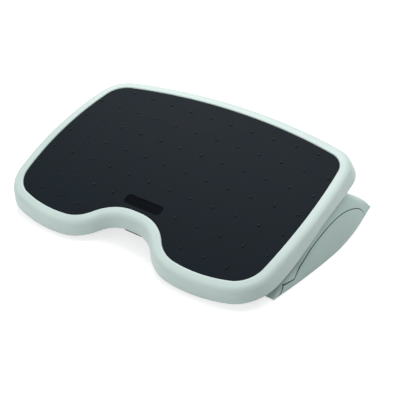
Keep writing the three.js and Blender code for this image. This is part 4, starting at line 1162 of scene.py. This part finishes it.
def spring_line():
    curls = []
    for step in range(COIL_TURNS * COIL_STEPS + 1):
        angle = math.tau * step / COIL_STEPS - math.pi / 2
        x = SPRING_X + COIL_PITCH * step / COIL_STEPS
        y = BAR_Y + COIL_RADIUS * math.cos(angle)
        curls.append(Vector((x, y, BAR_Z + COIL_RADIUS * math.sin(angle))))
    return [FRONT_TIP, *curls, curls[-1] + REAR_LEG]


def wire(name, line, radius, sides=12):
    loops = []
    for step, point in enumerate(line):
        forward = (line[min(step + 1, len(line) - 1)] - line[max(step - 1, 0)]).normalized()
        across = (Vector((1, 0, 0)) - forward * forward.x).normalized()
        outward = forward.cross(across)
        ring = circle(0, 0, radius, sides)
        loops.append([point + across * a + outward * b for a, b in ring])
    return loft(name, loops)


spring = wire("spring_coiled", spring_line(), WIRE_RADIUS)
finish_piece(spring, on_base, None, ["pedal_spring"], SPRING_WIRE)
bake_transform(spring)

# %% [markdown]
# ## The plainer mouldings and pressings
#
# The floor plate, the columns and their guides, the bearings, the brackets and the cams keep the
# shapes of their CAD solids. A solid has knife edges, though, and a real moulding or pressing
# never does. So each is copied, its triangles are merged into whole faces, and every sharp edge
# gets a small round that catches the light.

# %% Softened copies of CAD nodes
EDGE_ROUND, FLAT_ANGLE, EDGE_ANGLE = 0.4, math.radians(1), math.radians(40)
SOFTENED_PAIRS = ["column_guide", "lift_column", "bar_bearing", "hinge_bracket", "locking_cam"]
FINISHES = {
    "pod_plastic": POD_ABS_AND_PANEL_SHADE,
    "dark_plastic": DARK_ACETAL,
    "nylon": NATURAL_NYLON,
    "pressed_steel": ZINC_STEEL,
}
BODIES = frame["record"]["behaviour"]["bodies"]
BODY_OF = {node: body for body, nodes in BODIES.items() for node in nodes}
SLOT_OF = {entry["node"]: entry["material_slot"] for entry in frame["record"]["subparts"]}


def softened(node):
    work = bmesh.new()
    work.from_mesh(frame["nodes"][node].data)
    bmesh.ops.remove_doubles(work, verts=work.verts, dist=1e-6)
    bmesh.ops.dissolve_limit(work, angle_limit=FLAT_ANGLE, verts=work.verts, edges=work.edges)
    closed = [edge for edge in work.edges if edge.is_manifold]
    sharp = [edge for edge in closed if edge.calc_face_angle() > EDGE_ANGLE]
    rounding = {"offset": EDGE_ROUND * MM, "segments": 2, "profile": 0.5, "clamp_overlap": True}
    bmesh.ops.bevel(work, geom=sharp, affect="EDGES", **rounding)
    obj = solid(f"{node}_softened", [], [])
    work.to_mesh(obj.data)
    work.free()
    return obj


def unscaled(point):
    """A CAD point in millimetres, because finish_piece turns them to metres again."""
    return Vector(point) / MM


for node in ("base_plate", *both_sides(SOFTENED_PAIRS)):
    slot = SLOT_OF[node]
    finish_piece(softened(node), unscaled, BODY_OF[node], [node], FINISHES[slot])
left_over = [name for name, node in frame["nodes"].items() if not node.hide_render]
print("CAD nodes still shown:", left_over)

# %% [markdown]
# ## Camera
#
# The camera's place and focal length were solved from the outline of the mat and its grid of
# bumps in the photo: it looks from the front right, about 30 degrees above the floor, from
# 1.5 metres away.

# %% Camera
CAMERA_FROM_PLATFORM = Vector((830.7, -1006.2, 707.4))
CAMERA_AIM = Vector((-0.52895, 0.68142, -0.50585))
SENSOR_WIDTH, FOCAL_LENGTH = 36, 84.66


def aimed(obj, place, direction):
    """Puts a camera or a lamp at its place and turns it to look in a direction."""
    obj.location = place
    obj.rotation_mode = "QUATERNION"
    obj.rotation_quaternion = direction.to_track_quat("-Z", "Y")
    return obj


camera_data = bpy.data.cameras.new("camera")
camera_data.sensor_width = SENSOR_WIDTH
camera_data.lens = FOCAL_LENGTH
camera_place = (on_platform((0, 0, 0)) + CAMERA_FROM_PLATFORM) * MM
camera = aimed(new_object("camera", camera_data), camera_place, CAMERA_AIM)
bpy.context.scene.camera = camera
print("camera at", [round(v, 3) for v in camera.location])

# %% [markdown]
# ## Floor and background
#
# A catalogue photo like this one has a white surround. The floor is pale and keeps a faint
# shadow. The world is white wherever the camera, a mirror or glass looks at it, and a softer
# grey where it only lights things.

# %% Floor and world
FLOOR_REACH, FLOOR_GLOW = 4, 0.7
WORLD_LIGHT, WORLD_SEEN = 0.4, 1.0
WHITE = (1, 1, 1, 1)


def seen_directly(tree):
    """1 for rays from the camera and for those that a shiny or clear surface sends on."""
    path = add_node(tree, "ShaderNodeLightPath", {})
    seen = path.outputs["Is Camera Ray"]
    for ray in ("Is Glossy Ray", "Is Transmission Ray"):
        links = {0: seen, 1: path.outputs[ray]}
        seen = add_node(tree, "ShaderNodeMath", {"operation": "MAXIMUM"}, links).outputs[0]
    return seen


def floor_material():
    material, tree = new_material("floor_pale")
    matt = add_node(tree, "ShaderNodeBsdfDiffuse", {"Color": linear("#C9CBCB")})
    glow = add_node(tree, "ShaderNodeEmission", {"Color": WHITE, "Strength": FLOOR_GLOW})
    nothing = add_node(tree, "ShaderNodeEmission", {"Strength": 0})
    choice = {0: seen_directly(tree), 1: nothing.outputs[0], 2: glow.outputs[0]}
    chosen = add_node(tree, "ShaderNodeMixShader", {}, choice)
    sum_of = {0: matt.outputs[0], 1: chosen.outputs[0]}
    both = add_node(tree, "ShaderNodeAddShader", {}, sum_of)
    add_node(tree, "ShaderNodeOutputMaterial", {}, {"Surface": both.outputs[0]})
    return material


corners = [(-FLOOR_REACH, -FLOOR_REACH, 0), (FLOOR_REACH, -FLOOR_REACH, 0)]
corners += [(FLOOR_REACH, FLOOR_REACH, 0), (-FLOOR_REACH, FLOOR_REACH, 0)]
floor = solid("floor", corners, [[0, 1, 2, 3]])
floor.data.materials.append(floor_material())

world = bpy.data.worlds.new("studio")
bpy.context.scene.world = world
world.use_nodes = True
sky = world.node_tree
sky.nodes.clear()
strengths = {"To Min": WORLD_LIGHT, "To Max": WORLD_SEEN}
strength = add_node(sky, "ShaderNodeMapRange", strengths, {"Value": seen_directly(sky)})
light = add_node(
    sky, "ShaderNodeBackground", {"Color": WHITE}, {"Strength": strength.outputs[0]}
)
add_node(sky, "ShaderNodeOutputWorld", {}, {"Surface": light.outputs[0]})
print("floor and world ready")

# %% [markdown]
# ## Lamps
#
# The light of the photo is soft and comes from above, a little behind the object, with a weaker
# light from the front so that the skirt stays readable. Large round area lamps give such light,
# and each is turned so that it shines at the middle of the footrest.

# %% Lamps
LAMP_TARGET = Vector((0, 0, 0.06))
# Each row is a name, a place and a width in metres, and a power in watts.
LAMPS = [
    ("key", (-0.9, 0.7, 1.7), 1.2, 21),
    ("fill", (-0.6, -1.8, 0.5), 1.2, 12),
    ("side", (1.0, 0.6, 1.9), 1.0, 17),
]

for name, place, width, watts in LAMPS:
    lamp_data = bpy.data.lights.new(name, "AREA")
    lamp_data.shape = "DISK"
    lamp_data.size = width
    lamp_data.energy = watts
    aimed(new_object(name, lamp_data), place, LAMP_TARGET - Vector(place))
bpy.context.scene.view_settings.view_transform = "Standard"
